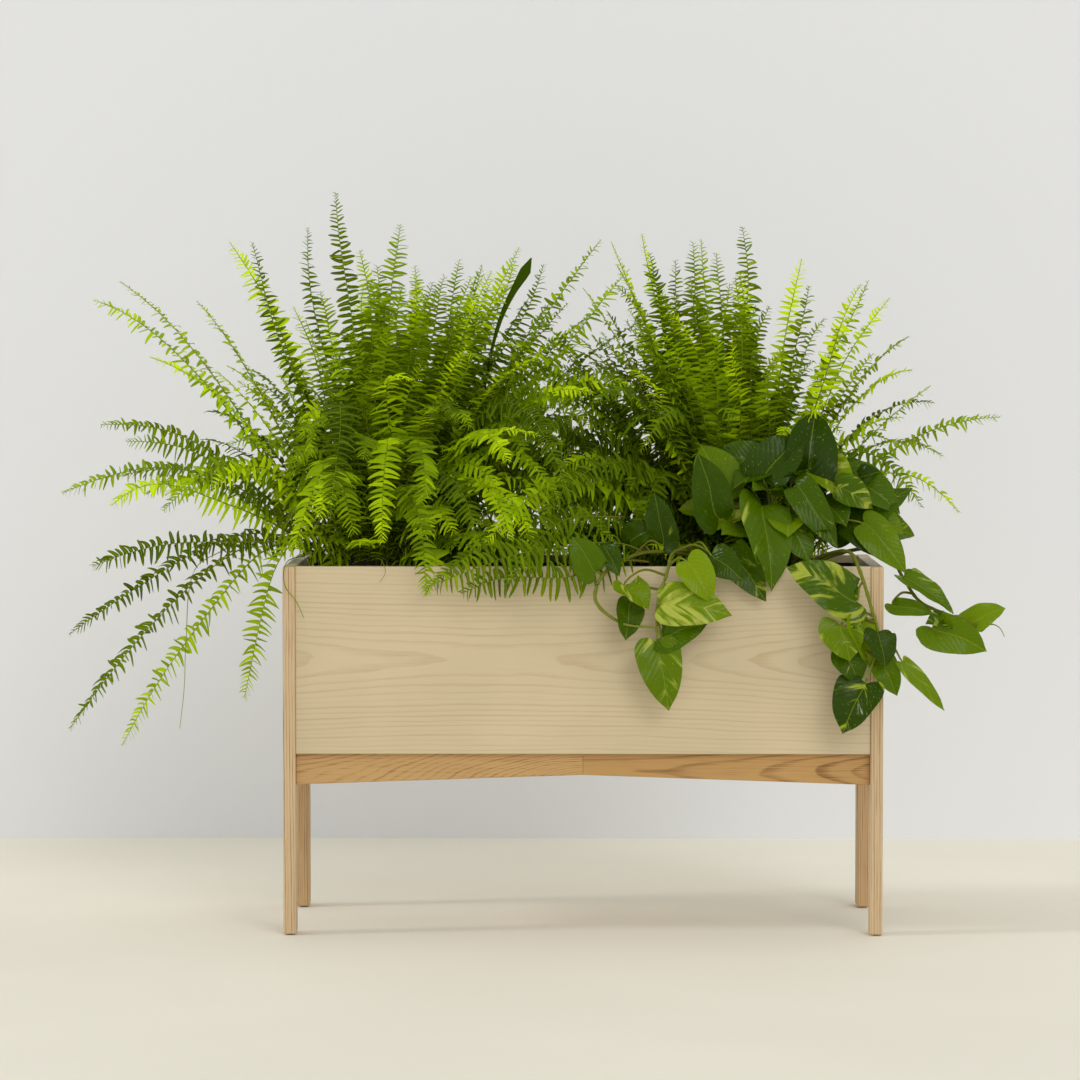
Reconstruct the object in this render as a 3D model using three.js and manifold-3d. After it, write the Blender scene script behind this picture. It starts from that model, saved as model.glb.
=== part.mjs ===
// A free-standing wooden planter on four legs, planted with two sword ferns and a golden pothos.
// Pale softwood panels stand between the legs, a two-piece apron with a rising lower edge runs
// under each long side, and a black liner with the soil and the plants lifts out as one.
// Millimetres. The origin is on the floor under the middle of the planter: +X right, +Y back, +Z up.
import * as THREE from "three";
import { RoundedBoxGeometry } from "three/addons/geometries/RoundedBoxGeometry.js";
import { mergeVertices } from "three/addons/utils/BufferGeometryUtils.js";
import Module from "manifold-3d";

const wasm = await Module();
wasm.setup();

// Overall size of the woodwork
const WIDTH = 914;
const DEPTH = 356;
const HEIGHT = 564;

// Legs and their glides
const LEG_THICKNESS = 19;
const LEG_BREADTH = 45;
const LEG_EASING = 2;
const GLIDE_HEIGHT = 2;
const GLIDE_RADIUS = 7.5;
const GLIDE_PIN_RADIUS = 1.5;
const GLIDE_PIN_LENGTH = 12;

// Panels
const PANEL_HEIGHT = 286;
const PANEL_THICKNESS = 18;
const PANEL_SETBACK = 4;
const SIDE_SETBACK = 1;
const EASING = 1.2;

// Aprons, which meet in the middle of each long side
const APRON_HEIGHT = 48;
const APRON_RISE = 15;
const APRON_THICKNESS = 18;
const APRON_SETBACK = 15;
const APRON_EASING = 0.8;

// Joinery
const CLEARANCE = 0.3;
const DOWEL_RADIUS = 4;
const DOWEL_IN_LEG = 12;
const DOWEL_IN_BOARD = 24;
const DOWEL_FROM_EDGE = 50;
const TONGUE_THICKNESS = 6;
const TONGUE_LENGTH = 8;
const TONGUE_STOP = 12;
const SPLICE_LENGTH = 140;
const SPLICE_HEIGHT = 26;
const SPLICE_THICKNESS = 12;
const SPLICE_DROP = 3;
const SPLICE_SCREW_SPACING = 80;
const SPLICE_SCREW_LENGTH = 24;
const SCREW_RADIUS = 2;
const SCREW_HEAD_RADIUS = 4;
const SCREW_HEAD_LENGTH = 2.5;
const SCREW_POINT_LENGTH = 6;

// Slatted bottom on two cleats
const CLEAT_SIZE = 20;
const CLEAT_LIFT = 6;
const CLEAT_END_GAP = 8;
const CLEAT_SCREW_LENGTH = 32;
const CLEAT_SCREW_FROM_END = 58;
const SLAT_COUNT = 8;
const SLAT_THICKNESS = 12;
const SLAT_GAP = 8;
const SLAT_END_GAP = 1;

// Liner and soil
const LINER_GAP = 3;
const LINER_WALL = 2.5;
const LINER_RIM_WIDTH = 4;
const LINER_RIM_HEIGHT = 3;
const LINER_CORNER = 14;
const LINER_BELOW_RIM = 12;
const SOIL_BELOW_LINER = 22;

// Plants
const FERN_INSET = 135;
const RIGHT_FERN_INSET = 215;
const RIGHT_FERN_BACK = 39;
const FERN_CROWN_LENGTH = 240;
const FERN_CROWN_BREADTH = 150;
const FERN_CROWN_HEIGHT = 46;
const FROND_WIDTH = 50;
const FROND_THICKNESS = 3;
const FAR_FROND_REACH = 420;
const PLANT_CLEARANCE = 1.5;
const SLIVER = 0.1;
const POTHOS_INSET = 150;
const POTHOS_FROM_FRONT = 85;
const POTHOS_CROWN_LENGTH = 110;
const POTHOS_CROWN_BREADTH = 70;
const POTHOS_CROWN_HEIGHT = 34;
const VINE_RADIUS = 3;
const LEAF_THICKNESS = 1.8;
const PETIOLE_WIDTH = 3.2;

// How finely round shapes are faceted
const EASING_FACETS = 1;
const DOWEL_SIDES = 10;
const SCREW_SIDES = 8;
const GLIDE_SIDES = 12;
const MOUND_SIDES = 12;
const CORNER_FACETS = 4;
const VINE_STEPS = 10;
const VINE_FACETS = 3;

// Sizes and levels that follow
const LEG_HEIGHT = HEIGHT - GLIDE_HEIGHT;
const PANEL_BOTTOM = HEIGHT - PANEL_HEIGHT;
const APRON_BOTTOM = PANEL_BOTTOM - APRON_HEIGHT;
const INNER_WIDTH = WIDTH - 2 * LEG_THICKNESS;
const BETWEEN_LEGS = DEPTH - 2 * LEG_BREADTH;
const PANEL_Y = DEPTH / 2 - PANEL_SETBACK - PANEL_THICKNESS / 2;
const INNER_DEPTH = 2 * PANEL_Y - PANEL_THICKNESS;
const APRON_Y = DEPTH / 2 - APRON_SETBACK - APRON_THICKNESS / 2;
const SIDE_X = WIDTH / 2 - SIDE_SETBACK - (LEG_THICKNESS - SIDE_SETBACK) / 2;
const SIDE_THICKNESS = LEG_THICKNESS - SIDE_SETBACK;
const SLAT_BOTTOM = PANEL_BOTTOM + CLEAT_LIFT + CLEAT_SIZE;
const LINER_BOTTOM = SLAT_BOTTOM + SLAT_THICKNESS;
const LINER_TOP = HEIGHT - LINER_BELOW_RIM;
const LINER_RIM_X = INNER_WIDTH - 2 * LINER_GAP;
const LINER_RIM_Y = INNER_DEPTH - 2 * LINER_GAP;
const LINER_X = LINER_RIM_X - 2 * LINER_RIM_WIDTH;
const LINER_Y = LINER_RIM_Y - 2 * LINER_RIM_WIDTH;
const SOIL_TOP = LINER_TOP - SOIL_BELOW_LINER;
const SOIL_BOTTOM = LINER_BOTTOM + LINER_WALL + CLEARANCE;

const standard = (color, roughness, metalness = 0) =>
  new THREE.MeshStandardMaterial({ color, roughness, metalness });
const paleWood = standard(0xccb996, 0.55);
const honeyWood = standard(0xb28b53, 0.55);
const legWood = standard(0xc4a67c, 0.55);
const plainWood = standard(0xc2a77c, 0.7);
const dowelWood = standard(0xd0b488, 0.7);
const screwSteel = standard(0xb8b4a8, 0.35, 1);
const glidePlastic = standard(0x2a2622, 0.6);
const linerPlastic = standard(0x161719, 0.5);
const soilBrown = standard(0x2b2119, 0.95);
const fernGreen = standard(0x55851c, 0.6);
const pothosGreen = standard(0x3f7a26, 0.4);

const planter = new THREE.Group();
const woodwork = new THREE.Group();
const linerSet = new THREE.Group();
planter.add(woodwork, linerSet);

// A closed geometry as a manifold-3d solid, and back.
function solidOf(geometry) {
  const bare = geometry.clone();
  bare.deleteAttribute("normal");
  bare.deleteAttribute("uv");
  const merged = mergeVertices(bare);
  return new wasm.Manifold(
    new wasm.Mesh({
      numProp: 3,
      vertProperties: new Float32Array(merged.attributes.position.array),
      triVerts: new Uint32Array(merged.index.array),
    }),
  );
}

function geometryOf(solid) {
  const { numProp, numVert, vertProperties, triVerts } = solid.getMesh();
  const positions = new Float32Array(numVert * 3);
  for (let i = 0; i < numVert; i++) {
    positions.set(vertProperties.subarray(i * numProp, i * numProp + 3), i * 3);
  }
  const geometry = new THREE.BufferGeometry();
  geometry.setAttribute("position", new THREE.BufferAttribute(positions, 3));
  geometry.setIndex(new THREE.BufferAttribute(new Uint32Array(triVerts), 1));
  geometry.computeVertexNormals();
  return geometry;
}

// A piece is made round its own middle and placed; its cutters and additions are in the planter's frame.
function addPiece(group, name, geometry, material, position, changes = {}) {
  const { cutters = [], additions = [] } = changes;
  let shape = geometry;
  if (cutters.length || additions.length) {
    let solid = solidOf(geometry.clone().translate(...position));
    for (const addition of additions) solid = solid.add(solidOf(addition));
    for (const cutter of cutters) solid = solid.subtract(solidOf(cutter));
    shape = geometryOf(solid).translate(...position.map((value) => -value));
  }
  const mesh = new THREE.Mesh(shape, material);
  mesh.name = name;
  mesh.position.set(...position);
  group.add(mesh);
  return mesh;
}

const easedBoard = (x, y, z, easing = EASING) =>
  new RoundedBoxGeometry(x, y, z, EASING_FACETS, easing);
const boxAt = (x, y, z, centre) => new THREE.BoxGeometry(x, y, z).translate(...centre);

// Dowels lie along X across the face between a leg and the end of a board.
function dowelShape(end, y, z, clearance) {
  const inLeg = DOWEL_IN_LEG + clearance;
  const inBoard = DOWEL_IN_BOARD + clearance;
  const radius = DOWEL_RADIUS + clearance;
  const shape = new THREE.CylinderGeometry(radius, radius, inLeg + inBoard, DOWEL_SIDES);
  shape.rotateZ(Math.PI / 2);
  return shape.translate(end * (INNER_WIDTH / 2 + (inLeg - inBoard) / 2), y, z);
}

// Screws lie along Y with the head on the inner side, and point outwards.
function screwShape(length, side, x, headY, z, clearance) {
  const points = [
    new THREE.Vector2(0, -clearance),
    new THREE.Vector2(SCREW_HEAD_RADIUS + clearance, -clearance),
    new THREE.Vector2(SCREW_HEAD_RADIUS + clearance, 0),
    new THREE.Vector2(SCREW_RADIUS + clearance, SCREW_HEAD_LENGTH),
    new THREE.Vector2(SCREW_RADIUS + clearance, length - SCREW_POINT_LENGTH),
    new THREE.Vector2(0, length + clearance),
  ];
  const outline = clearance ? points : points.filter((point, index) => index !== 2);
  const shape = new THREE.LatheGeometry(outline, SCREW_SIDES);
  if (side < 0) shape.rotateX(Math.PI);
  return shape.translate(x, side * headY, z);
}

const SIDES = [
  { label: "front", side: -1 },
  { label: "back", side: 1 },
];
const ENDS = [
  { label: "left", end: -1 },
  { label: "right", end: 1 },
];

const dowels = [];
for (const { label: sideLabel, side } of SIDES) {
  for (const { label: endLabel, end } of ENDS) {
    const places = [
      ["panel_upper", PANEL_Y, HEIGHT - DOWEL_FROM_EDGE],
      ["panel_lower", PANEL_Y, PANEL_BOTTOM + DOWEL_FROM_EDGE],
      ["apron", APRON_Y, APRON_BOTTOM + APRON_HEIGHT / 2],
    ];
    for (const [use, y, z] of places) {
      const name = `dowel_${use}_${sideLabel}_${endLabel}`;
      dowels.push({ name, side, end, y: side * y, z });
    }
  }
}
const dowelHoles = (wanted) =>
  dowels.filter(wanted).map(({ end, y, z }) => dowelShape(end, y, z, CLEARANCE));

const cleatScrews = [];
const spliceScrews = [];
for (const { label, side } of SIDES) {
  const reach = INNER_WIDTH / 2 - CLEAT_SCREW_FROM_END;
  [-reach, 0, reach].forEach((x, index) => {
    const headY = INNER_DEPTH / 2 - CLEAT_SIZE;
    const z = PANEL_BOTTOM + CLEAT_LIFT + CLEAT_SIZE / 2;
    const name = `cleat_screw_${label}_${index + 1}`;
    cleatScrews.push({ name, side, x, headY, z, length: CLEAT_SCREW_LENGTH });
  });
  ENDS.forEach(({ label: endLabel, end }) => {
    const x = (end * SPLICE_SCREW_SPACING) / 2;
    const headY = APRON_Y - APRON_THICKNESS / 2 - SPLICE_THICKNESS;
    const z = PANEL_BOTTOM - SPLICE_DROP - SPLICE_HEIGHT / 2;
    const name = `splice_screw_${label}_${endLabel}`;
    spliceScrews.push({ name, side, x, headY, z, length: SPLICE_SCREW_LENGTH });
  });
}
const screwHole = ({ side, x, headY, z, length }) => screwShape(length, side, x, headY, z, CLEARANCE);
const screwHoles = (screws, wanted) => screws.filter(wanted).map(screwHole);

// The stopped tongues of the side panels and side aprons, or the grooves that take them.
function tongueShape(end, side, bottom, top, clearance) {
  const length = TONGUE_LENGTH + clearance;
  const height = top - bottom - 2 * TONGUE_STOP + 2 * clearance;
  const y = side * (BETWEEN_LEGS / 2 + length / 2);
  return boxAt(TONGUE_THICKNESS + 2 * clearance, length, height, [end * SIDE_X, y, (top + bottom) / 2]);
}

function glideShape(clearance) {
  const pin = GLIDE_PIN_RADIUS + clearance;
  return new THREE.LatheGeometry(
    [
      new THREE.Vector2(0, 0),
      new THREE.Vector2(GLIDE_RADIUS - GLIDE_HEIGHT / 2, 0),
      new THREE.Vector2(GLIDE_RADIUS, GLIDE_HEIGHT / 2),
      new THREE.Vector2(GLIDE_RADIUS, GLIDE_HEIGHT),
      new THREE.Vector2(pin, GLIDE_HEIGHT),
      new THREE.Vector2(pin, GLIDE_HEIGHT + GLIDE_PIN_LENGTH + clearance),
      new THREE.Vector2(0, GLIDE_HEIGHT + GLIDE_PIN_LENGTH + clearance),
    ],
    GLIDE_SIDES,
  ).rotateX(Math.PI / 2);
}

function addLegs() {
  for (const { label: sideLabel, side } of SIDES) {
    for (const { label: endLabel, end } of ENDS) {
      const x = (end * (WIDTH - LEG_THICKNESS)) / 2;
      const y = (side * (DEPTH - LEG_BREADTH)) / 2;
      const leg = easedBoard(LEG_THICKNESS, LEG_BREADTH, LEG_HEIGHT, LEG_EASING);
      const cutters = [
        ...dowelHoles((dowel) => dowel.side === side && dowel.end === end),
        tongueShape(end, side, PANEL_BOTTOM, HEIGHT, CLEARANCE),
        tongueShape(end, side, APRON_BOTTOM, PANEL_BOTTOM, CLEARANCE),
        glideShape(CLEARANCE).translate(x, y, 0),
      ];
      const place = [x, y, GLIDE_HEIGHT + LEG_HEIGHT / 2];
      const corner = `${sideLabel}_${endLabel}`;
      addPiece(woodwork, `leg_${corner}`, leg, legWood, place, { cutters });
      addPiece(woodwork, `foot_glide_${corner}`, glideShape(0), glidePlastic, [x, y, 0]);
    }
  }
}

function addPanels() {
  for (const { label, side } of SIDES) {
    const board = easedBoard(INNER_WIDTH, PANEL_THICKNESS, PANEL_HEIGHT);
    const cutters = [
      ...dowelHoles((dowel) => dowel.side === side && dowel.name.includes("panel")),
      ...screwHoles(cleatScrews, (screw) => screw.side === side),
    ];
    const place = [0, side * PANEL_Y, HEIGHT - PANEL_HEIGHT / 2];
    addPiece(woodwork, `${label}_panel`, board, paleWood, place, { cutters });
  }
  for (const { label, end } of ENDS) {
    const bands = [
      ["panel", PANEL_BOTTOM, HEIGHT, paleWood],
      ["apron", APRON_BOTTOM, PANEL_BOTTOM, honeyWood],
    ];
    for (const [use, bottom, top, wood] of bands) {
      const board = easedBoard(SIDE_THICKNESS, BETWEEN_LEGS, top - bottom);
      const additions = SIDES.map(({ side }) => tongueShape(end, side, bottom, top, 0));
      const place = [end * SIDE_X, 0, (top + bottom) / 2];
      addPiece(woodwork, `${label}_side_${use}`, board, wood, place, { additions });
    }
  }
}

// One half of an apron: its lower edge climbs in a straight line from the leg to the middle joint.
function apronShape(end, side) {
  const edge = APRON_EASING;
  const length = INNER_WIDTH / 2;
  const outline = new THREE.Shape([
    new THREE.Vector2(edge, APRON_RISE + edge),
    new THREE.Vector2(length - edge, edge),
    new THREE.Vector2(length - edge, APRON_HEIGHT - edge),
    new THREE.Vector2(edge, APRON_HEIGHT - edge),
  ]);
  const shape = new THREE.ExtrudeGeometry(outline, {
    depth: APRON_THICKNESS - 2 * edge,
    bevelThickness: edge,
    bevelSize: edge,
    bevelSegments: 1,
  });
  shape.translate(0, 0, -APRON_THICKNESS / 2 + edge).rotateX(Math.PI / 2);
  if (end < 0) shape.rotateZ(Math.PI);
  return shape.translate(0, side * APRON_Y, APRON_BOTTOM);
}

function addAprons() {
  for (const { label: sideLabel, side } of SIDES) {
    for (const { label: endLabel, end } of ENDS) {
      const here = (dowel) => dowel.side === side && dowel.end === end;
      const cutters = [
        ...dowelHoles((dowel) => here(dowel) && dowel.name.includes("apron")),
        ...screwHoles(spliceScrews, (screw) => screw.side === side && Math.sign(screw.x) === end),
      ];
      const name = `${sideLabel}_apron_${endLabel}`;
      addPiece(woodwork, name, apronShape(end, side), honeyWood, [0, 0, 0], { cutters });
    }
    const splice = new THREE.BoxGeometry(SPLICE_LENGTH, SPLICE_THICKNESS, SPLICE_HEIGHT);
    const y = side * (APRON_Y - APRON_THICKNESS / 2 - SPLICE_THICKNESS / 2);
    const place = [0, y, PANEL_BOTTOM - SPLICE_DROP - SPLICE_HEIGHT / 2];
    const cutters = screwHoles(spliceScrews, (screw) => screw.side === side);
    addPiece(woodwork, `apron_splice_${sideLabel}`, splice, plainWood, place, { cutters });
  }
}

function addBottom() {
  for (const { label, side } of SIDES) {
    const cleat = new THREE.BoxGeometry(INNER_WIDTH - 2 * CLEAT_END_GAP, CLEAT_SIZE, CLEAT_SIZE);
    const y = (side * (INNER_DEPTH - CLEAT_SIZE)) / 2;
    const place = [0, y, PANEL_BOTTOM + CLEAT_LIFT + CLEAT_SIZE / 2];
    const cutters = screwHoles(cleatScrews, (screw) => screw.side === side);
    addPiece(woodwork, `bottom_cleat_${label}`, cleat, plainWood, place, { cutters });
  }
  const pitch = INNER_WIDTH / SLAT_COUNT;
  const length = INNER_DEPTH - 2 * SLAT_END_GAP;
  for (let i = 0; i < SLAT_COUNT; i++) {
    const slat = new THREE.BoxGeometry(pitch - SLAT_GAP, length, SLAT_THICKNESS);
    const place = [(i + 0.5) * pitch - INNER_WIDTH / 2, 0, SLAT_BOTTOM + SLAT_THICKNESS / 2];
    addPiece(woodwork, `bottom_slat_${i + 1}`, slat, plainWood, place);
  }
}

function addFasteners() {
  for (const { name, end, y, z } of dowels) {
    const place = [end * (INNER_WIDTH / 2), y, z];
    const shape = dowelShape(end, y, z, 0).translate(-place[0], -place[1], -place[2]);
    addPiece(woodwork, name, shape, dowelWood, place);
  }
  for (const { name, side, x, headY, z, length } of [...cleatScrews, ...spliceScrews]) {
    const screw = screwShape(length, side, 0, 0, 0, 0);
    addPiece(woodwork, name, screw, screwSteel, [x, side * headY, z]);
  }
}

function roundedPlate(x, y, corner, thickness) {
  const plate = new THREE.Shape();
  plate.moveTo(-x / 2 + corner, -y / 2);
  plate.lineTo(x / 2 - corner, -y / 2);
  plate.absarc(x / 2 - corner, -y / 2 + corner, corner, -Math.PI / 2, 0);
  plate.absarc(x / 2 - corner, y / 2 - corner, corner, 0, Math.PI / 2);
  plate.absarc(-x / 2 + corner, y / 2 - corner, corner, Math.PI / 2, Math.PI);
  plate.absarc(-x / 2 + corner, -y / 2 + corner, corner, Math.PI, 1.5 * Math.PI);
  return new THREE.ExtrudeGeometry(plate, {
    depth: thickness,
    bevelEnabled: false,
    curveSegments: CORNER_FACETS,
  });
}

function addLiner() {
  const height = LINER_TOP - LINER_BOTTOM;
  const rimCorner = LINER_CORNER + LINER_RIM_WIDTH;
  const rim = roundedPlate(LINER_RIM_X, LINER_RIM_Y, rimCorner, LINER_RIM_HEIGHT);
  const inner = LINER_CORNER - LINER_WALL;
  const hollow = roundedPlate(LINER_X - 2 * LINER_WALL, LINER_Y - 2 * LINER_WALL, inner, height);
  const tub = roundedPlate(LINER_X, LINER_Y, LINER_CORNER, height);
  addPiece(linerSet, "liner", tub, linerPlastic, [0, 0, LINER_BOTTOM], {
    additions: [rim.translate(0, 0, LINER_TOP - LINER_RIM_HEIGHT)],
    cutters: [hollow.translate(0, 0, LINER_BOTTOM + LINER_WALL)],
  });
  const gap = 2 * (LINER_WALL + CLEARANCE);
  const soil = roundedPlate(LINER_X - gap, LINER_Y - gap, inner, SOIL_TOP - SOIL_BOTTOM);
  addPiece(linerSet, "soil_bed", soil, soilBrown, [0, 0, SOIL_BOTTOM]);
}

const point = (x, y, z) => new THREE.Vector3(x, y, z);
// A number from 0 to 1 that looks random and is the same every time.
function shuffle(seed) {
  const value = Math.sin(seed * 12.9898 + 4.1414) * 43758.5453;
  return value - Math.floor(value);
}

// A leaf blade along a curve: rings of four points, each station giving how far along it lies, its
// width and its thickness, closed in a point at the tip. side is the way across the blade near the
// tip, carried back along the curve without a twist and then turned by roll.
function bladeSolid(curve, stations, side, roll, swell) {
  const rows = [];
  let across = side;
  for (const [t, width, thickness] of stations.toReversed()) {
    const along = curve.getTangent(t);
    across = across.clone().addScaledVector(along, -across.dot(along)).normalize();
    const out = across.clone().applyAxisAngle(along, roll);
    const up = out.clone().cross(along);
    out.multiplyScalar(width / 2 + swell);
    up.multiplyScalar(thickness / 2 + swell);
    const corners = [out, up, out.clone().negate(), up.clone().negate()];
    rows.unshift(corners.map((corner) => corner.add(curve.getPoint(t))));
  }
  const positions = rows.flat().flatMap((corner) => corner.toArray());
  const rings = stations.length;
  positions.push(...curve.getPoint(1).toArray());
  const index = [0, 1, 2, 0, 2, 3];
  for (let ring = 0; ring + 1 < rings; ring++) {
    for (let corner = 0; corner < 4; corner++) {
      const a = ring * 4 + corner;
      const b = ring * 4 + ((corner + 1) % 4);
      index.push(a, a + 4, b, b, a + 4, b + 4);
    }
  }
  const last = (rings - 1) * 4;
  for (let corner = 0; corner < 4; corner++) {
    index.push(last + corner, rings * 4, last + ((corner + 1) % 4));
  }
  const geometry = new THREE.BufferGeometry();
  geometry.setAttribute("position", new THREE.Float32BufferAttribute(positions, 3));
  geometry.setIndex(index);
  return solidOf(geometry);
}

// Each row is one frond that the eye picks out: how far its tip lies from the crown along X, how far
// outside the front or back of the woodwork, how high over the rim, and how far it arches over its
// chord. A frond bends halfway along, or where a fifth value says.
const LEFT_FRONT_FRONDS = [
  [-435, -135, 408, 70],
  [-345, -100, 318, 60],
  [-200, -175, 492, 30],
  [-65, -165, 572, 25],
  [170, -205, 460, 15],
  [350, -200, 500, 40],
  [275, -225, 455, 30],
  [330, -60, 205, 150],
  [310, 5, 110, 190],
  [160, 10, 45, 130],
  [220, 20, 42, 120],
  [85, 55, -42, 145],
  [-180, -35, -205, 170, 0.8],
  [-385, -120, -290, 128, 0.42],
  [-430, -70, -10, 55, 0.3],
  [-490, -170, 105, 85],
  [-65, 55, 75, 210],
  [-390, -115, 125, 70],
  [20, 35, 40, 175],
  [-110, 40, 30, 150],
  [320, -150, 340, 60],
  [260, -60, 320, 70],
  [400, -130, 270, 110],
  [250, -60, 150, 120],
  [150, -20, 210, 110],
  [300, -90, 400, 45],
];
const LEFT_BACK_FRONDS = [
  [-405, -140, 435, 55],
  [-290, -85, 405, 45],
  [-225, -120, 500, 35],
  [-125, -90, 520, 25],
  [35, -120, 525, 15],
  [70, -140, 425, 60],
  [130, -100, 470, 20],
  [220, -75, 465, 20],
  [395, -120, 455, 35],
  [415, -90, 370, 60],
  [-485, -160, -265, 120, 0.3],
  [-480, -120, -125, 90, 0.3],
  [-440, -100, 210, 65],
  [-340, -60, 95, 90],
  [60, 60, 120, 190],
  [-160, 70, 60, 180],
  [-20, 95, -30, 160],
  [190, 50, 60, 150],
  [330, -100, 380, 50],
  [150, -60, 380, 40],
  [380, -60, 250, 110],
  [-40, -60, 430, 30],
  [-240, -60, 300, 60],
];
const RIGHT_FRONT_FRONDS = [
  [12, -178, 520, 10],
  [-5, -120, 440, 30],
  [190, -160, 430, 40],
  [405, -160, 225, 60],
  [-225, -60, 250, 110],
  [-300, -20, 70, 130],
  [-470, 40, -42, 105],
  [150, -90, 200, 90],
  [-120, -100, 340, 80],
  [-260, -130, 330, 70],
  [-170, -60, 300, 60],
  [60, -60, 330, 50],
  [-330, -50, 190, 110],
  [-390, 10, 40, 110],
];
const RIGHT_BACK_FRONDS = [
  [105, -115, 470, 25],
  [215, -100, 435, 45],
  [245, -60, 410, 50],
  [270, -115, 350, 60],
  [280, -80, 300, 70],
  [310, -135, 245, 80],
  [-120, -140, 430, 20],
  [-65, -80, 425, 30],
  [-180, -100, 430, 55],
  [60, 60, 130, 170],
  [-110, 80, 90, 180],
  [210, 55, 60, 150],
  [-230, -80, 300, 90],
  [20, -60, 400, 30],
  [160, -60, 330, 50],
  [330, -60, 160, 90],
  [-150, -100, 360, 60],
  [-90, -60, 250, 80],
];
// The rest fill the plant all round: golden-angle rosettes from upright young fronds to arching old ones.
const GOLDEN_ANGLE = Math.PI * (3 - Math.sqrt(5));
const FILL_FRONDS = 14;
const FILL_REACH = [130, 330];
const FILL_HEIGHT = [430, 60];
const FILL_ARCH = [30, 120];
const HEIGHT_SPREAD = 0.3;
const LEFT_FERN_SEED = 10;
const RIGHT_FERN_SEED = 50;
// Roots lie inside the crown.
const ROOT_SPREAD = 0.6;
const ROOT_LEVEL = 0.4;
// Upright fronds face the front or the back, those that lean to the ends tilt outwards, and all are
// turned a little at random, in radians.
const FROND_FACES_OUT = 0.35;
const FROND_TILT = 0.9;
const FROND_ROLL = 0.7;
// How far along a frond each cross-section is, and its share of the full width.
const FROND_STATIONS = [
  [0, 0.1],
  [0.2, 0.75],
  [0.42, 1],
  [0.65, 0.85],
  [0.86, 0.4],
];
// Half the outline of a crown's mound of stems, as shares of its radius and its height.
const MOUND_OUTLINE = [
  [0, 0],
  [1, 0],
  [0.92, 0.4],
  [0.6, 0.82],
  [0, 1],
];

const { clamp, lerp } = THREE.MathUtils;

function frondCurve(crown, tip, arch, bendAt) {
  const spread = (distance, size) => (clamp(distance / FAR_FROND_REACH, -1, 1) * ROOT_SPREAD * size) / 2;
  const root = point(
    crown.x + spread(tip.x - crown.x, FERN_CROWN_LENGTH),
    crown.y + spread(tip.y - crown.y, FERN_CROWN_BREADTH),
    crown.z + FERN_CROWN_HEIGHT * ROOT_LEVEL,
  );
  const bend = root.clone().lerp(tip, bendAt).add(point(0, 0, 2 * arch));
  return new THREE.QuadraticBezierCurve3(root, bend, tip);
}

function frondSolid(crown, curve, seed, swell) {
  const tip = curve.v2;
  const chord = tip.clone().sub(curve.v0);
  const outwards = tip.y < crown.y ? -1 : 1;
  const flat = point(chord.x, chord.y + outwards * FROND_FACES_OUT * chord.length(), 0);
  const side = flat.cross(point(0, 0, 1)).normalize();
  const turn = (-outwards * FROND_TILT * chord.x) / chord.length();
  const roll = turn + (shuffle(seed) - 0.5) * FROND_ROLL;
  const stations = FROND_STATIONS.map(([t, share]) => [t, FROND_WIDTH * share, FROND_THICKNESS]);
  return bladeSolid(curve, stations, side, roll, swell);
}

function moundSolid(length, breadth, height, place, swell) {
  const outline = MOUND_OUTLINE.map(([across, up]) => new THREE.Vector2(across, up));
  const mound = new THREE.LatheGeometry(outline, MOUND_SIDES).rotateX(Math.PI / 2);
  mound.scale(length / 2 + swell, breadth / 2 + swell, height + swell);
  return solidOf(mound.translate(...place.toArray()));
}

function fernSolid(crown, frontRows, backRows, seed, swell) {
  const fronds = [];
  const add = ([x, out, up, arch, bendAt = 0.5], side) => {
    const tip = point(crown.x + x, side * (DEPTH / 2 + out), HEIGHT + up);
    const curve = frondCurve(crown, tip, arch, bendAt);
    fronds.push(frondSolid(crown, curve, seed + fronds.length, swell));
  };
  frontRows.forEach((row) => add(row, -1));
  backRows.forEach((row) => add(row, 1));
  for (let i = 0; i < FILL_FRONDS; i++) {
    const age = (i + 0.5) / FILL_FRONDS;
    const angle = i * GOLDEN_ANGLE + seed;
    const reach = lerp(...FILL_REACH, age);
    const up = lerp(...FILL_HEIGHT, age) * (1 + HEIGHT_SPREAD * (shuffle(seed + i) - 0.5));
    const y = Math.sin(angle) * reach;
    const row = [Math.cos(angle) * reach, Math.abs(y) - DEPTH / 2, up, lerp(...FILL_ARCH, age)];
    add(row, Math.sign(y));
  }
  const mound = moundSolid(FERN_CROWN_LENGTH, FERN_CROWN_BREADTH, FERN_CROWN_HEIGHT, crown, swell);
  return wasm.Manifold.union([mound, ...fronds]);
}

// Vines and leaves of the pothos: from the right end, out from the front, up from the rim.
const fromCorner = ([x, out, up]) => point(WIDTH / 2 + x, -DEPTH / 2 - out, HEIGHT + up);
const VINES = {
  left: [
    [-150, -85, -25],
    [-270, -60, 16],
    [-318, -10, 22],
    [-330, 28, -8],
    [-345, 40, -60],
    [-345, 36, -108],
  ],
  loop: [
    [-150, -85, -25],
    [-290, -55, 14],
    [-370, -8, 20],
    [-428, 34, -12],
    [-438, 42, -48],
    [-400, 42, -82],
    [-348, 38, -90],
  ],
  right: [
    [-150, -85, -25],
    [-90, -50, 14],
    [-52, -8, 22],
    [-38, 30, -6],
    [-22, 38, -58],
    [-10, 38, -108],
    [-28, 38, -168],
  ],
  side: [
    [-150, -85, -25],
    [-60, -70, 18],
    [6, -60, 22],
    [34, -40, -22],
    [58, -25, -55],
    [110, -20, -78],
    [150, -10, -98],
  ],
};
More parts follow.
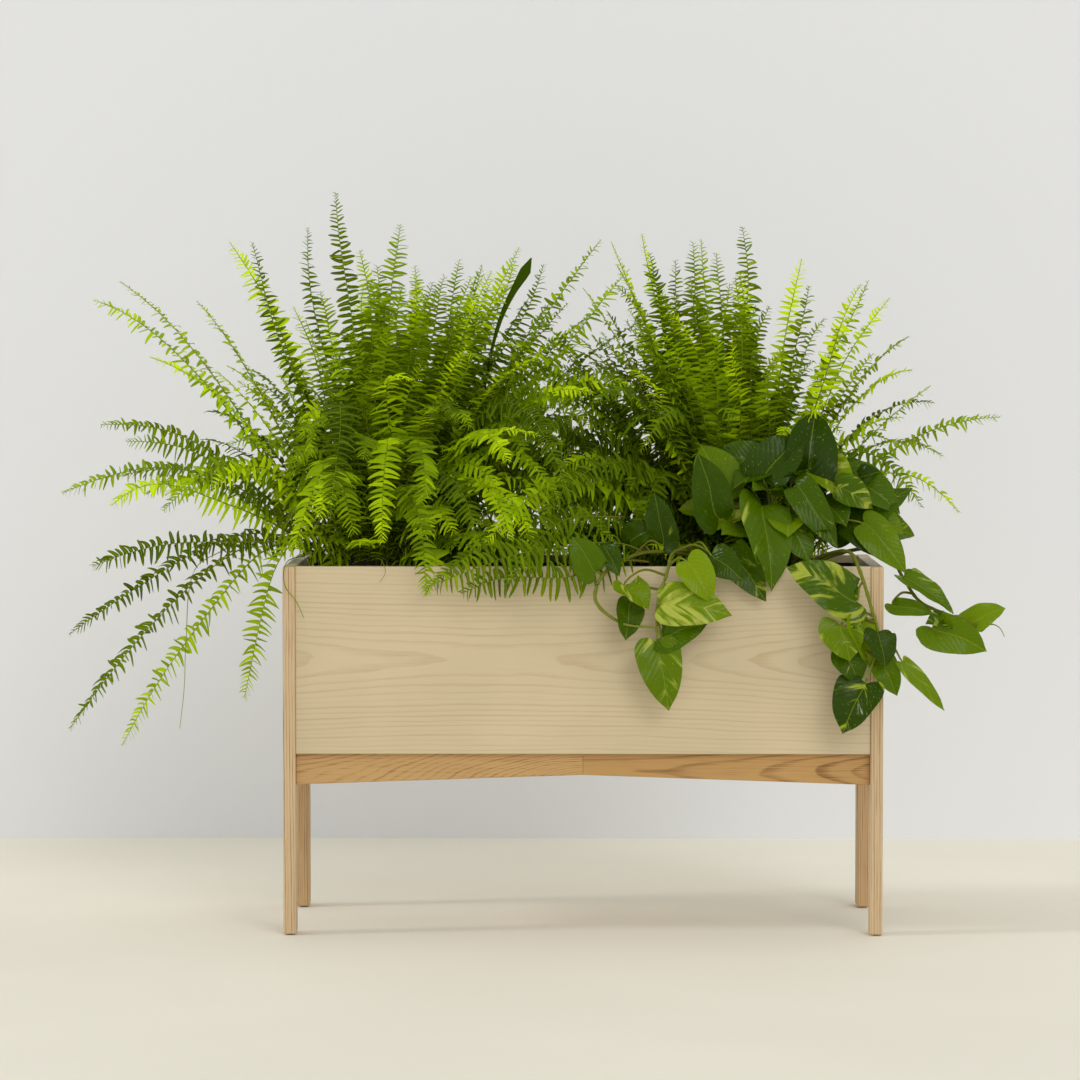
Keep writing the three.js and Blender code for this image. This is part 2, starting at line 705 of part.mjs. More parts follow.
// Each leaf: the vine, how far along it, where the leaf's base and tip lie, and its width.
const LEAVES = [
  ["left", 1, [-345, 38, -112], [-327, 44, -216], 66],
  ["left", 0.8, [-338, 44, -54], [-232, 50, -70], 62],
  ["left", 0.88, [-338, 36, -104], [-268, 32, -84], 46],
  ["left", 0.55, [-300, 34, 10], [-262, 52, -52], 52],
  ["left", 0.3, [-262, 20, 18], [-216, 44, -18], 46],
  ["left", 0.62, [-395, 34, -26], [-356, 46, -62], 46],
  ["left", 0.7, [-385, 30, -52], [-392, 36, -110], 42],
  ["loop", 0.5, [-432, 12, -2], [-480, 24, 36], 40],
  ["loop", 0.42, [-425, 0, 34], [-402, 30, -12], 34],
  ["loop", 0.3, [-385, -30, 36], [-350, -18, 56], 44],
  ["loop", 0.36, [-335, -30, 32], [-348, -20, 112], 46],
  ["left", 0.4, [-262, 10, 16], [-304, 24, -8], 22],
  ["right", 0, [-183, -60, 90], [-168, -10, -35], 80],
  ["right", 0, [-232, -20, 24], [-180, 14, -52], 54],
  ["right", 0, [-250, -40, 72], [-282, -20, 172], 62],
  ["right", 0, [-236, -80, 96], [-276, -100, 184], 72],
  ["right", 0, [-180, -60, 132], [-122, -80, 196], 70],
  ["right", 0, [-116, -70, 128], [-98, -110, 236], 78],
  ["right", 0, [-132, -30, 122], [-70, 0, 28], 48],
  ["right", 0, [-148, -40, 74], [-112, -10, 6], 56],
  ["right", 0.55, [-44, 34, -50], [-150, 36, 4], 66],
  ["right", 0, [-68, -50, 118], [-14, -40, 88], 46],
  ["right", 0, [-46, -80, 132], [30, -60, 80], 54],
  ["right", 0, [-30, -60, 66], [50, -90, 118], 46],
  ["right", 0, [-28, -40, 64], [36, -20, -10], 54],
  ["right", 0, [-54, -60, 70], [16, -20, 8], 54],
  ["right", 0.75, [-68, 42, -86], [-54, 48, -140], 60],
  ["right", 0.72, [-46, 34, -76], [-22, 34, -152], 48],
  ["right", 0.8, [-12, 42, -96], [0, 52, -150], 48],
  ["right", 0.9, [-60, 34, -128], [-40, 36, -176], 46],
  ["right", 0.92, [-8, 30, -138], [18, 36, -194], 42],
  ["right", 1, [-30, 42, -174], [-66, 50, -250], 68],
  ["right", 0.85, [26, 44, -142], [90, 40, -216], 24],
  ["side", 0.55, [32, -20, -16], [108, -6, -70], 36],
  ["side", 0.6, [14, -14, -58], [78, -6, -72], 26],
  ["side", 1, [74, 6, -92], [156, 14, -128], 56],
  ["side", 0.9, [96, 6, -82], [62, 20, -84], 34],
  ["side", 1, [128, -20, -92], [186, -10, -62], 42],
  ["right", 0, [-130, -140, 60], [-210, -190, 130], 60],
  ["right", 0, [-80, -150, 40], [-20, -210, 100], 60],
];
// Leaves look to the front and a little up, more or less so, and are turned at random, in radians.
const LEAF_FACES_UP = 0.45;
const LEAF_NOD = 0.5;
const LEAF_ROLL = 0.8;
// A petiole climbs from the vine before it bends to the leaf, and a blade bulges to the front and up,
// as shares of the petiole's length and the blade's width.
const PETIOLE_HALFWAY = 0.55;
const PETIOLE_LIFT = 0.25;
const BLADE_BULGE = [0, -0.1, 0.08];
const PETIOLE_STATIONS = [0, 0.3];
const LEAF_STATIONS = [
  [0, 0],
  [0.1, 0.72],
  [0.3, 1],
  [0.58, 0.82],
  [0.84, 0.34],
];

// A petiole from its vine to the leaf's base, and on into the blade, which is the curve's second half.
function leafSolid(vines, [vine, along, base, tip, width], seed, swell) {
  const anchor = vines[vine].getPoint(along);
  const basePoint = fromCorner(base);
  const tipPoint = fromCorner(tip);
  const halfway = anchor.clone().lerp(basePoint, PETIOLE_HALFWAY);
  halfway.z += anchor.distanceTo(basePoint) * PETIOLE_LIFT;
  const middle = basePoint.clone().lerp(tipPoint, 0.5).addScaledVector(point(...BLADE_BULGE), width);
  const curve = new THREE.CatmullRomCurve3([anchor, halfway, basePoint, middle, tipPoint]);
  const stalk = PETIOLE_STATIONS.map((t) => [t, PETIOLE_WIDTH, PETIOLE_WIDTH]);
  const blade = LEAF_STATIONS.map(([share, breadth]) => [
    0.5 + share / 2,
    Math.max(PETIOLE_WIDTH, width * breadth),
    LEAF_THICKNESS,
  ]);
  const facing = point(0, -1, LEAF_FACES_UP + LEAF_NOD * (shuffle(seed) - 0.5));
  const side = tipPoint.clone().sub(basePoint).cross(facing);
  const roll = (shuffle(seed + LEAVES.length) - 0.5) * LEAF_ROLL;
  return bladeSolid(curve, [...stalk, ...blade], side, roll, swell);
}

function vineSolid(vine, swell) {
  const section = new THREE.Shape().absarc(0, 0, VINE_RADIUS + swell, 0, 2 * Math.PI);
  const stem = new THREE.ExtrudeGeometry(section, {
    steps: VINE_STEPS,
    curveSegments: VINE_FACETS,
    bevelEnabled: false,
    extrudePath: vine,
  });
  return solidOf(stem);
}

function pothosSolid(crown, swell) {
  const vines = {};
  for (const [name, route] of Object.entries(VINES)) {
    vines[name] = new THREE.CatmullRomCurve3(route.map(fromCorner));
  }
  const stems = Object.values(vines).map((vine) => vineSolid(vine, swell));
  const leaves = LEAVES.map((leaf, index) => leafSolid(vines, leaf, index, swell));
  const size = [POTHOS_CROWN_LENGTH, POTHOS_CROWN_BREADTH, POTHOS_CROWN_HEIGHT];
  return wasm.Manifold.union([moundSolid(...size, crown, swell), ...stems, ...leaves]);
}

// Everything that a plant may not enter: the woodwork and the liner, all but the well over the soil.
function keepOut() {
  const margin = 2 * PLANT_CLEARANCE;
  const top = HEIGHT + PLANT_CLEARANCE;
  const block = boxAt(WIDTH + margin, DEPTH + margin, top, [0, 0, top / 2]);
  const wall = 2 * LINER_WALL + margin;
  const depth = top - SOIL_TOP;
  const well = boxAt(LINER_X - wall, LINER_Y - wall, 2 * depth, [0, 0, SOIL_TOP + CLEARANCE + depth]);
  return solidOf(block).subtract(solidOf(well));
}

// Trimmed plants keep only the piece that still grows from the crown, without hair-thin slivers.
function rootedPart(solid) {
  const bodies = solid.simplify(SLIVER).decompose();
  return bodies.reduce((best, body) => (body.volume() > best.volume() ? body : best));
}

function addPlants() {
  const soil = SOIL_TOP + CLEARANCE;
  const leftCrown = point(-WIDTH / 2 + FERN_INSET, 0, soil);
  const rightCrown = point(WIDTH / 2 - RIGHT_FERN_INSET, RIGHT_FERN_BACK, soil);
  const pothosCrown = point(WIDTH / 2 - POTHOS_INSET, -DEPTH / 2 + POTHOS_FROM_FRONT, soil);
  const left = fernSolid(leftCrown, LEFT_FRONT_FRONDS, LEFT_BACK_FRONDS, LEFT_FERN_SEED, 0);
  const right = (swell) =>
    fernSolid(rightCrown, RIGHT_FRONT_FRONDS, RIGHT_BACK_FRONDS, RIGHT_FERN_SEED, swell);
  const roomForPothos = pothosSolid(pothosCrown, CLEARANCE);
  const box = keepOut();
  const plants = [
    ["fern_left", left.subtract(right(CLEARANCE)).subtract(roomForPothos), fernGreen, leftCrown],
    ["fern_right", right(0).subtract(roomForPothos), fernGreen, rightCrown],
    ["pothos", pothosSolid(pothosCrown, 0), pothosGreen, pothosCrown],
  ];
  for (const [name, solid, material, crown] of plants) {
    const place = crown.toArray();
    const shape = geometryOf(rootedPart(solid.subtract(box)));
    addPiece(linerSet, name, shape.translate(...place.map((value) => -value)), material, place);
  }
}

addLegs();
addPanels();
addAprons();
addBottom();
addFasteners();
addLiner();
addPlants();

export default planter;
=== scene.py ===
# A floor planter with two sword ferns and a golden pothos, dressed over its CAD frame. Metres, +Z up,
# the front towards -Y. The woodwork, the liner and the soil keep their CAD shapes and get their wood,
# plastic and earth here. The plants are built leaf by leaf on the curves that their CAD solids follow.
import math

import bpy
import numpy as np
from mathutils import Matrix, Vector


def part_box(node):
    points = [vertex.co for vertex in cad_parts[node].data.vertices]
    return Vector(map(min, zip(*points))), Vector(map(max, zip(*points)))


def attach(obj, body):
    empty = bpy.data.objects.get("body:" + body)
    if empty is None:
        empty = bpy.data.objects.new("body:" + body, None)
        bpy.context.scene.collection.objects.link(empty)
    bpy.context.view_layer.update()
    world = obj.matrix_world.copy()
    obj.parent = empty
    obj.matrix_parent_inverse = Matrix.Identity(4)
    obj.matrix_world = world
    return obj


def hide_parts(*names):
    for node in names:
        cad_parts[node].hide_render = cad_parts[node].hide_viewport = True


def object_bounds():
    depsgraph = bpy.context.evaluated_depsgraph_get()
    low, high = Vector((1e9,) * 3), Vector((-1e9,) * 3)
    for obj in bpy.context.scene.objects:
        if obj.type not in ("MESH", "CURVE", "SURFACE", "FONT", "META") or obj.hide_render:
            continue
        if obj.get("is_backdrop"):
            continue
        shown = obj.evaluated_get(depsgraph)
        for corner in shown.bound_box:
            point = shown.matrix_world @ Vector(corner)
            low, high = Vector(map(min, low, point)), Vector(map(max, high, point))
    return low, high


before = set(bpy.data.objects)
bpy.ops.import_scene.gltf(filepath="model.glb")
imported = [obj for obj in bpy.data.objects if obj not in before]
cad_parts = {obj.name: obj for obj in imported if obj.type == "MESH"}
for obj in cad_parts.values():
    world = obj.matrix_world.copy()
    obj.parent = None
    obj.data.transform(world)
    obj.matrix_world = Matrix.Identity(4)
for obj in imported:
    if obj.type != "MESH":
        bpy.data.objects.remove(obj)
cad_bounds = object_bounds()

# The frame's own sizes
HALF_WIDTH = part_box("leg_front_right")[1].x
HALF_DEPTH = -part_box("leg_front_left")[0].y
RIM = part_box("front_panel")[1].z
PANEL_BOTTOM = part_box("front_panel")[0].z
PANEL_FACE = -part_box("front_panel")[0].y
APRON_FACE = -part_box("front_apron_left")[0].y
APRON_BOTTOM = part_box("front_apron_left")[0].z
LINER_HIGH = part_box("liner")[1]
SOIL_LOW, SOIL_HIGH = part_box("soil_bed")

# Camera: where the eye is, and where its level line of sight to the back meets the photograph
EYE = (0, -6.578, 0.931)
SENSOR = 36.0
PHOTO_SIZE = 1080
PHOTO_FOCAL = 4219
PHOTO_LEVEL_SIGHT = (583, 325)

# Room
FLOOR_COLOR = (0.885, 0.845, 0.722, 1)
WALL_COLOR = (0.8, 0.808, 0.828, 1)
WALL_DISTANCE = 1.045
WALL_HEIGHT = 9
ROOM_REACH = 30
WORLD_STRENGTH = 0.6
# Lights: name, watts per square metre, where each comes from, and its width in degrees
LIGHTS = (
    ("window", 0.66, (-7.0, -1.3, 3.9), 9),
    ("room_fill", 0.6, (1.6, -4.2, 2.8), 26),
    ("low_fill", 0.5, (1.6, -7.0, 1.5), 70),
)


def add_camera():
    data = bpy.data.cameras.new("camera")
    data.sensor_width = SENSOR
    data.lens = SENSOR * PHOTO_FOCAL / PHOTO_SIZE
    camera = bpy.data.objects.new("camera", data)
    centre = PHOTO_SIZE / 2
    right = (centre - PHOTO_LEVEL_SIGHT[0]) / PHOTO_FOCAL
    down = (centre - PHOTO_LEVEL_SIGHT[1]) / PHOTO_FOCAL
    camera.location = EYE
    camera.rotation_euler = Vector((right, 1, -down)).to_track_quat("-Z", "Y").to_euler()
    bpy.context.collection.objects.link(camera)
    bpy.context.scene.camera = camera


# ---- materials

def srgb(red, green, blue):
    """A screen's colour, 0 to 255, as the linear colour that shaders take."""
    share = np.array([red, green, blue]) / 255
    linear = np.where(share <= 0.04045, share / 12.92, ((share + 0.055) / 1.055) ** 2.4)
    return tuple(float(part) for part in linear) + (1.0,)


def node_method(operation, swapped=False):
    """A method of Value that adds a math node."""
    def method(*values):
        return values[0].shader.math(operation, *(values[::-1] if swapped else values))
    return method


class Value:
    """What a node gives out. Arithmetic on it adds math nodes."""
    __add__, __mul__ = node_method("ADD"), node_method("MULTIPLY")
    __sub__, __rsub__ = node_method("SUBTRACT"), node_method("SUBTRACT", swapped=True)
    __truediv__, __abs__ = node_method("DIVIDE"), node_method("ABSOLUTE")
    floor, fraction = node_method("FLOOR"), node_method("FRACT")

    def __init__(self, shader, socket):
        self.shader, self.socket = shader, socket


class Shader:
    """A material under construction. Its methods add nodes, and take plain numbers, colours or Values."""

    def __init__(self, name):
        self.material = bpy.data.materials.new(name)
        self.material.use_nodes = True
        self.tree = self.material.node_tree
        self.tree.nodes.clear()

    def add(self, kind, inputs=(), **settings):
        node = self.tree.nodes.new("ShaderNode" + kind)
        for name, value in settings.items():
            setattr(node, name, value)
        for key, value in dict(inputs).items():
            if isinstance(value, Value):
                self.tree.links.new(value.socket, node.inputs[key])
            else:
                node.inputs[key].default_value = value
        return node

    def get(self, outputs, kind, inputs=(), **settings):
        """The output of a new node, or a list of them where outputs is a tuple."""
        node = self.add(kind, inputs, **settings)
        if isinstance(outputs, tuple):
            return [Value(self, node.outputs[key]) for key in outputs]
        return Value(self, node.outputs[outputs])

    def math(self, operation, *values, clamp=False):
        return self.get("Value", "Math", dict(enumerate(values)), operation=operation, use_clamp=clamp)

    def stretch(self, vector, scales):
        return self.get("Vector", "VectorMath", {0: vector, 1: scales}, operation="MULTIPLY")

    def combine(self, x, y, z):
        return self.get("Vector", "CombineXYZ", {"X": x, "Y": y, "Z": z})

    def separate(self, vector):
        return self.get(("X", "Y", "Z"), "SeparateXYZ", {"Vector": vector})

    def place(self):
        return self.get("Object", "TexCoord")

    def noise(self, vector, scale, detail=2.0, roughness=0.5, distortion=0.0):
        sockets = {"Vector": vector, "Scale": scale, "Detail": detail,
                   "Roughness": roughness, "Distortion": distortion}
        return self.get("Fac", "TexNoise", sockets)

    def spread(self, value, low, high, to_low=0.0, to_high=1.0, smooth=True):
        """value from low..high to to_low..to_high, held at the ends."""
        sockets = {"Value": value, "From Min": low, "From Max": high, "To Min": to_low, "To Max": to_high}
        kind = "SMOOTHSTEP" if smooth else "LINEAR"
        return self.get("Result", "MapRange", sockets, interpolation_type=kind)

    def mix(self, share, low, high, blend="MIX"):
        return self.get(2, "Mix", {0: share, 6: low, 7: high}, data_type="RGBA", blend_type=blend)

    def tone(self, color, gray):
        """The colour made lighter or darker."""
        return self.mix(1.0, color, self.combine(gray, gray, gray), "MULTIPLY")

    def ramp(self, value, stops):
        node = self.add("ValToRGB", {"Fac": value})
        elements = node.color_ramp.elements
        while len(elements) < len(stops):
            elements.new(0.5)
        for element, (position, color) in zip(elements, stops):
            element.position = position
            element.color = srgb(*color)
        return Value(self, node.outputs["Color"])

    def bump(self, height, distance, strength):
        return self.get("Normal", "Bump", {"Height": height, "Distance": distance, "Strength": strength})

    def principled(self, color, roughness, normal=None, metallic=0.0, specular=0.5):
        sockets = {"Base Color": color, "Roughness": roughness,
                   "Metallic": metallic, "Specular IOR Level": specular}
        if normal is not None:
            sockets["Normal"] = normal
        return self.get("BSDF", "BsdfPrincipled", sockets)

    def mix_surfaces(self, share, first, second):
        return self.get("Shader", "MixShader", {0: share, 1: first, 2: second})

    def finish(self, surface):
        self.add("OutputMaterial", {"Surface": surface})
        return self.material


def finish_nodes(material, *starts):
    """Gives the CAD nodes whose names start so their finish."""
    for name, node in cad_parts.items():
        if name.startswith(starts):
            for slot in node.material_slots:
                slot.material = material


# ---- wood, plastic, steel and earth

FIBRE_ALONG, FIBRE_ACROSS = 12, 900
SWAY_ALONG, SWAY_ACROSS = 7, 30
ALONG_X, ALONG_Y, ALONG_Z = (
    tuple(FIBRE_ALONG if axis == grain else FIBRE_ACROSS for axis in range(3)) for grain in range(3))
# Over a ring's width the dark late wood rises slowly and ends sharply
LATE_RISE, LATE_FALL = (0.47, 0.9), (0.92, 1.0)
LATE_STRENGTHS = (0.3, 0.95)
BOARD_TONES = (0.955, 1.045)
WOOD_ROUGHNESS = (0.45, 0.58)
PORE_DEPTH = 0.00012
POST_LEAN = 0.006
FLECK, STRONG_FLECK = 0.34, 0.6


def wood(name, colors, radius, pitch, warp, fibres, fleck=FLECK):
    """Sawn wood of two colors, early and late. radius(shader, x, y, z) is a point's distance from the
    heart of its tree, with a ring every pitch of it that wanders by warp. fibres are the scales of the
    fine grain along x, y and z, and fleck is how dark its streaks are."""
    shader = Shader(name)
    place = shader.place()
    sway = tuple(SWAY_ALONG if scale < FIBRE_ACROSS else SWAY_ACROSS for scale in fibres)
    wander = (shader.noise(shader.stretch(place, sway), 1.0) - 0.5) * warp
    ring = (radius(shader, *shader.separate(place)) + wander) / pitch
    part = ring.fraction()
    late = shader.spread(part, *LATE_RISE) * shader.spread(part, *LATE_FALL, 1.0, 0.0)
    chance = shader.get("Value", "TexWhiteNoise", {"W": ring.floor()}, noise_dimensions="1D")
    rings = late * shader.spread(chance, 0.0, 1.0, *LATE_STRENGTHS, smooth=False)
    fine = shader.noise(shader.stretch(place, fibres), 1.0, 4.0, 0.62)
    streaks = shader.spread(fine, 0.38, 0.78, -fleck * 0.65, fleck)
    line = shader.math("ADD", rings, streaks, clamp=True)
    tone = shader.spread(shader.noise(place, 6.0), 0.3, 0.7, *BOARD_TONES, smooth=False)
    color = shader.tone(shader.mix(line, srgb(*colors[0]), srgb(*colors[1])), tone)
    roughness = shader.spread(line, 0.0, 1.0, *WOOD_ROUGHNESS, smooth=False)
    normal = shader.bump(line + shader.spread(fine, 0.6, 0.74), PORE_DEPTH, 0.35)
    return shader.finish(shader.principled(color, roughness, normal))


def length_of(shader, a, b):
    return shader.math("SQRT", a * a + b * b)


def board_rings(face, level, peak, deepest, bow, across=1):
    """Rings of a flat-sawn board whose heart lies behind its face, nearest to the surface far from peak.
    across is the axis that the face looks along: 0 for a board at the planter's end, 1 for a long one."""
    def radius(shader, x, y, z):
        along, out = (x, y) if across else (y, x)
        off = along - peak
        heart = face - (deepest - off * off * bow)
        return length_of(shader, abs(out) - heart, z - level)
    return radius


def post_rings(shader, x, y, z):
    """Rings round an upright heart, as in a leg."""
    return length_of(shader, x + z * POST_LEAN, y)


def finish_woodwork():
    level = (RIM + PANEL_BOTTOM) / 2
    pale = ((206, 188, 152), (192, 171, 131))
    # The aprons' honey colour is partly their own darker, more orange wood and partly painted shade for the
    # shade under the panels' overhang
    honey_and_painted_shade = ((194, 155, 97), (144, 96, 42))
    plain = ((206, 184, 146), (182, 155, 114))
    # How the names of a wood's nodes start, and what wood() is told
    woods = (
        (("front_panel", "back_panel"), "pale_wood_long", pale,
         board_rings(PANEL_FACE, level, -0.1265, 0.0594, 0.1), 0.0065, 0.008, ALONG_X),
        (("left_side_panel", "right_side_panel"), "pale_wood_end", pale,
         board_rings(HALF_WIDTH, level + 0.02, 0.01, 0.045, 0.35, across=0), 0.0065, 0.008, ALONG_Y),
        (("leg_front_",), "leg_wood", ((205, 177, 136), (142, 104, 62)),
         post_rings, 0.0041, 0.003, ALONG_Z, STRONG_FLECK),
        # The back legs' copy of the leg wood is darker and browner: painted shade, as the back legs stand
        # in the shade behind the box
        (("leg_back_",), "leg_wood_back", ((198, 163, 115), (132, 94, 52)),
         post_rings, 0.0036, 0.003, ALONG_Z, STRONG_FLECK),
        (("front_apron_left", "back_apron_left"), "honey_wood_left", honey_and_painted_shade,
         board_rings(APRON_FACE, APRON_BOTTOM - 0.01, -0.52, 0.1, 0.35),
         0.0034, 0.007, ALONG_X, STRONG_FLECK),
        # The right aprons' honey is darker still than the left's
        (("front_apron_right", "back_apron_right"), "honey_wood_right", ((187, 145, 83), (132, 86, 34)),
         board_rings(APRON_FACE, APRON_BOTTOM + 0.02, 0.02, 0.05, 0.12),
         0.0054, 0.005, ALONG_X, STRONG_FLECK),
        (("left_side_apron", "right_side_apron"), "honey_wood_end", honey_and_painted_shade,
         board_rings(HALF_WIDTH, APRON_BOTTOM, 0.0, 0.06, 0.3, across=0), 0.005, 0.004, ALONG_Y),
        (("bottom_slat_",), "plain_wood_across", plain,
         board_rings(0.3, 0.2, 0, 0.05, 0.2, across=0), 0.006, 0.004, ALONG_Y),
        (("bottom_cleat_", "apron_splice_"), "plain_wood_along", plain,
         board_rings(0.2, 0.1, 0, 0.05, 0.1), 0.006, 0.004, ALONG_X),
        (("dowel_",), "dowel_wood", ((208, 183, 140), (180, 148, 104)), post_rings, 0.003, 0.002, ALONG_Y),
    )
    for starts, *recipe in woods:
        finish_nodes(wood(*recipe), *starts)


def speckled(name, dark, light, scale, roughness, depth=0.0001, **finish):
    """A moulded or metal surface with a fine speckle of two tones and of gloss."""
    shader = Shader(name)
    grain = shader.noise(shader.place(), scale, 3.0)
    color = shader.mix(shader.spread(grain, 0.3, 0.7), srgb(*dark), srgb(*light))
    rough = shader.spread(grain, 0.3, 0.7, roughness - 0.06, roughness + 0.06)
    normal = shader.bump(grain, depth, 0.3)
    return shader.finish(shader.principled(color, rough, normal, **finish))


def earth(name, dark, light):
    shader = Shader(name)
    place = shader.place()
    tints, distance = shader.get(("Color", "Distance"), "TexVoronoi", {"Vector": place, "Scale": 240.0})
    cloud = shader.noise(place, 30.0, 4.0)
    color = shader.mix(shader.separate(tints)[0] * cloud, srgb(*dark), srgb(*light))
    normal = shader.bump(distance + cloud, 0.002, 0.8)
    return shader.finish(shader.principled(color, 0.95, normal))


def finish_hardware():
    steel = speckled("screw_steel", (150, 150, 148), (186, 186, 182), 900, 0.34, metallic=1.0)
    finish_nodes(steel, "cleat_screw_", "splice_screw_")
    finish_nodes(speckled("glide_plastic", (40, 37, 34), (58, 54, 50), 500, 0.55), "foot_glide_")
    plastic = speckled("liner_plastic", (30, 30, 29), (44, 44, 42), 260, 0.84, depth=0.0002, specular=0.12)
    finish_nodes(plastic, "liner")
    finish_nodes(earth("soil_earth", (38, 27, 20), (86, 64, 46)), "soil_bed")


# ---- the room

def add_mesh(name, points, faces, material, flat=True):
    mesh = bpy.data.meshes.new(name)
    mesh.from_pydata(points, [], faces, shade_flat=flat)
    mesh.materials.append(material)
    thing = bpy.data.objects.new(name, mesh)
    bpy.context.collection.objects.link(thing)
    return thing


def add_plane(name, corners, material):
    plane = add_mesh(name, corners, [(0, 1, 2, 3)], material)
    plane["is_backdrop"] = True


def add_light(name, strength, source, width):
    """Even light from a far source."""
    data = bpy.data.lights.new(name, "SUN")
    data.energy = strength
    data.angle = math.radians(width)
    light = bpy.data.objects.new(name, data)
    light.location = source
    light.rotation_euler = (-Vector(source)).to_track_quat("-Z", "Y").to_euler()
    bpy.context.collection.objects.link(light)


def add_room():
    reach = ROOM_REACH
    floor = Shader("floor")
    bright = floor.spread(floor.noise(floor.place(), 1.5), 0.3, 0.7, 0.98, 1.02)
    shine = floor.principled(floor.tone(FLOOR_COLOR, bright), 0.65, specular=0.2)
    corners = [(-reach, -reach, 0), (reach, -reach, 0), (reach, reach, 0), (-reach, reach, 0)]
    add_plane("floor", corners, floor.finish(shine))
    # The wall is seen from the room only, so a view from behind looks through it
    wall = Shader("wall")
    paint = wall.principled(WALL_COLOR, 0.9)
    behind = wall.get("Backfacing", "NewGeometry")
    both = wall.mix_surfaces(behind, paint, wall.get("BSDF", "BsdfTransparent"))
    corners = [(x, WALL_DISTANCE, z) for x, z in
               ((-reach, 0), (reach, 0), (reach, WALL_HEIGHT), (-reach, WALL_HEIGHT))]
    add_plane("wall", corners, wall.finish(both))
    world = bpy.data.worlds.new("room_light")
    world.use_nodes = True
    background = world.node_tree.nodes["Background"]
    background.inputs["Color"].default_value = (1, 1, 1, 1)
    background.inputs["Strength"].default_value = WORLD_STRENGTH
    bpy.context.scene.world = world
    for light in LIGHTS:
        add_light(*light)


# ---- growing things: curves and meshes

LEAF_MAP = "OFBake"
LIFTED = "liner_set"
LINER_WALL = 0.0025
PLANT_CLEARANCE = 0.0015
GOLDEN_ANGLE = math.pi * (3 - math.sqrt(5))


def shuffle(seed):
    """A number from 0 to 1 that looks random and is the same every time."""
    value = math.sin(seed * 12.9898 + 4.1414) * 43758.5453
    return value - math.floor(value)


def lerp(low, high, share):
    return low + (high - low) * share


def unit(vectors):
    return vectors / np.maximum(np.linalg.norm(vectors, axis=-1, keepdims=True), 1e-9)


def pairs(u, v):
    """Places on the leaf map, from their two coordinates."""
    return np.stack(np.broadcast_arrays(u, v), axis=-1)


def read_off(where, stations, vectors):
    """The vectors at the places where, between those at the stations."""
    return np.stack([np.interp(where, stations, column) for column in vectors.T], axis=-1)


def turned(first, second, angle):
    """Two directions or coordinates at right angles, turned together."""
    cos, sin = np.cos(angle)[:, None], np.sin(angle)[:, None]
    return first * cos - second * sin, second * cos + first * sin


def smooth_route(points, steps):
    """A centripetal curve through the points, sampled evenly between each pair."""
    points = np.array(points, float)
    points = np.concatenate([2 * points[:1] - points[1:2], points, 2 * points[-1:] - points[-2:-1]])
    rows = []
    for a, b, c, d in zip(points, points[1:], points[2:], points[3:]):
        before, here, after = (max(np.linalg.norm(q - p) ** 0.5, 1e-4) for p, q in ((a, b), (b, c), (c, d)))
        start = ((b - a) / before - (c - a) / (before + here) + (c - b) / here) * here
        stop = ((c - b) / here - (d - b) / (here + after) + (d - c) / after) * here
        t = np.linspace(0, 1, steps, endpoint=False)[:, None]
        rows.append(b + start * t + (3 * (c - b) - 2 * start - stop) * t ** 2
                    + (2 * (b - c) + start + stop) * t ** 3)
    return np.concatenate([*rows, points[-2:-1]])


def frames_along(line, side, roll):
    """Unit vectors along the line, across the blade and out of its upper face. side is the way across
    at the tip. It is carried back along the line without a twist and then turned by roll."""
    along = unit(np.gradient(line, axis=0))
    across = np.zeros_like(line)
    for row in reversed(range(len(line))):
        side = side - along[row] * side.dot(along[row])
        side = side / np.linalg.norm(side)
        across[row] = side
    out = across * math.cos(roll) + np.cross(along, across) * math.sin(roll)
    return along, out, np.cross(out, along)


def lift_out(thing, slot, *replaced):
    """Makes a thing one of those that lift out with the liner."""
    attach(thing, LIFTED)
    if replaced:
        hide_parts(*replaced)


class Growth:
    """Gathers sheets and tubes of quads, each with its place on the leaf map, into one mesh."""

    def __init__(self):
        self.points, self.quads, self.map, self.count = [], [], [], 0

    def add_grid(self, points, places):
        """points: (sheets, rows, columns, 3), places: the same with 2. Where places has one column more
        than points, the grid is closed: its last column of points joins the first."""
        sheets, rows, columns = points.shape[:3]
        across = places.shape[2]
        row, column = np.meshgrid(np.arange(rows - 1), np.arange(across - 1), indexing="ij")
        corners = [(row, column), (row, column + 1), (row + 1, column + 1), (row + 1, column)]
        quads = np.stack([r * columns + c % columns for r, c in corners], axis=-1).reshape(-1, 4)
        starts = self.count + np.arange(sheets) * rows * columns
        self.quads.append((quads + starts[:, None, None]).reshape(-1, 4))
        seats = np.stack([r * across + c for r, c in corners], axis=-1).ravel()
        self.map.append(places.reshape(sheets, -1, 2)[:, seats].reshape(-1, 2))
        self.points.append(points.reshape(-1, 3))
        self.count += sheets * rows * columns

    def add_tube(self, line, radii, place, sides=5):
        """A round stem along a line. place is its corner and size on the leaf map."""
        along = unit(np.gradient(line, axis=0))
        helper = np.where(np.abs(along[:, 2:]) > 0.9, [[1.0, 0, 0]], [[0, 0, 1.0]])
        a = unit(np.cross(along, helper))
        b = np.cross(along, a)
        turns = np.linspace(0, 2 * math.pi, sides, endpoint=False)[:, None]
        ring = a[:, None] * np.cos(turns) + b[:, None] * np.sin(turns)
        points = line[:, None] + ring * radii[:, None, None]
        x, y, width, height = place
        u = x + width * np.linspace(0, 1, sides + 1)
        v = y + height * np.linspace(0, 1, len(line))[:, None]
        self.add_grid(points[None], pairs(u, v)[None])

    def piece(self, name, material, slot, *replaced):
        points, quads = np.concatenate(self.points), np.concatenate(self.quads)
        thing = add_mesh(name, points, quads, material, flat=False)
        layer = thing.data.uv_layers.new(name=LEAF_MAP)
        layer.data.foreach_set("uv", np.concatenate(self.map).astype(np.float32).ravel())
        thing.data.validate()
        lift_out(thing, slot, *replaced)


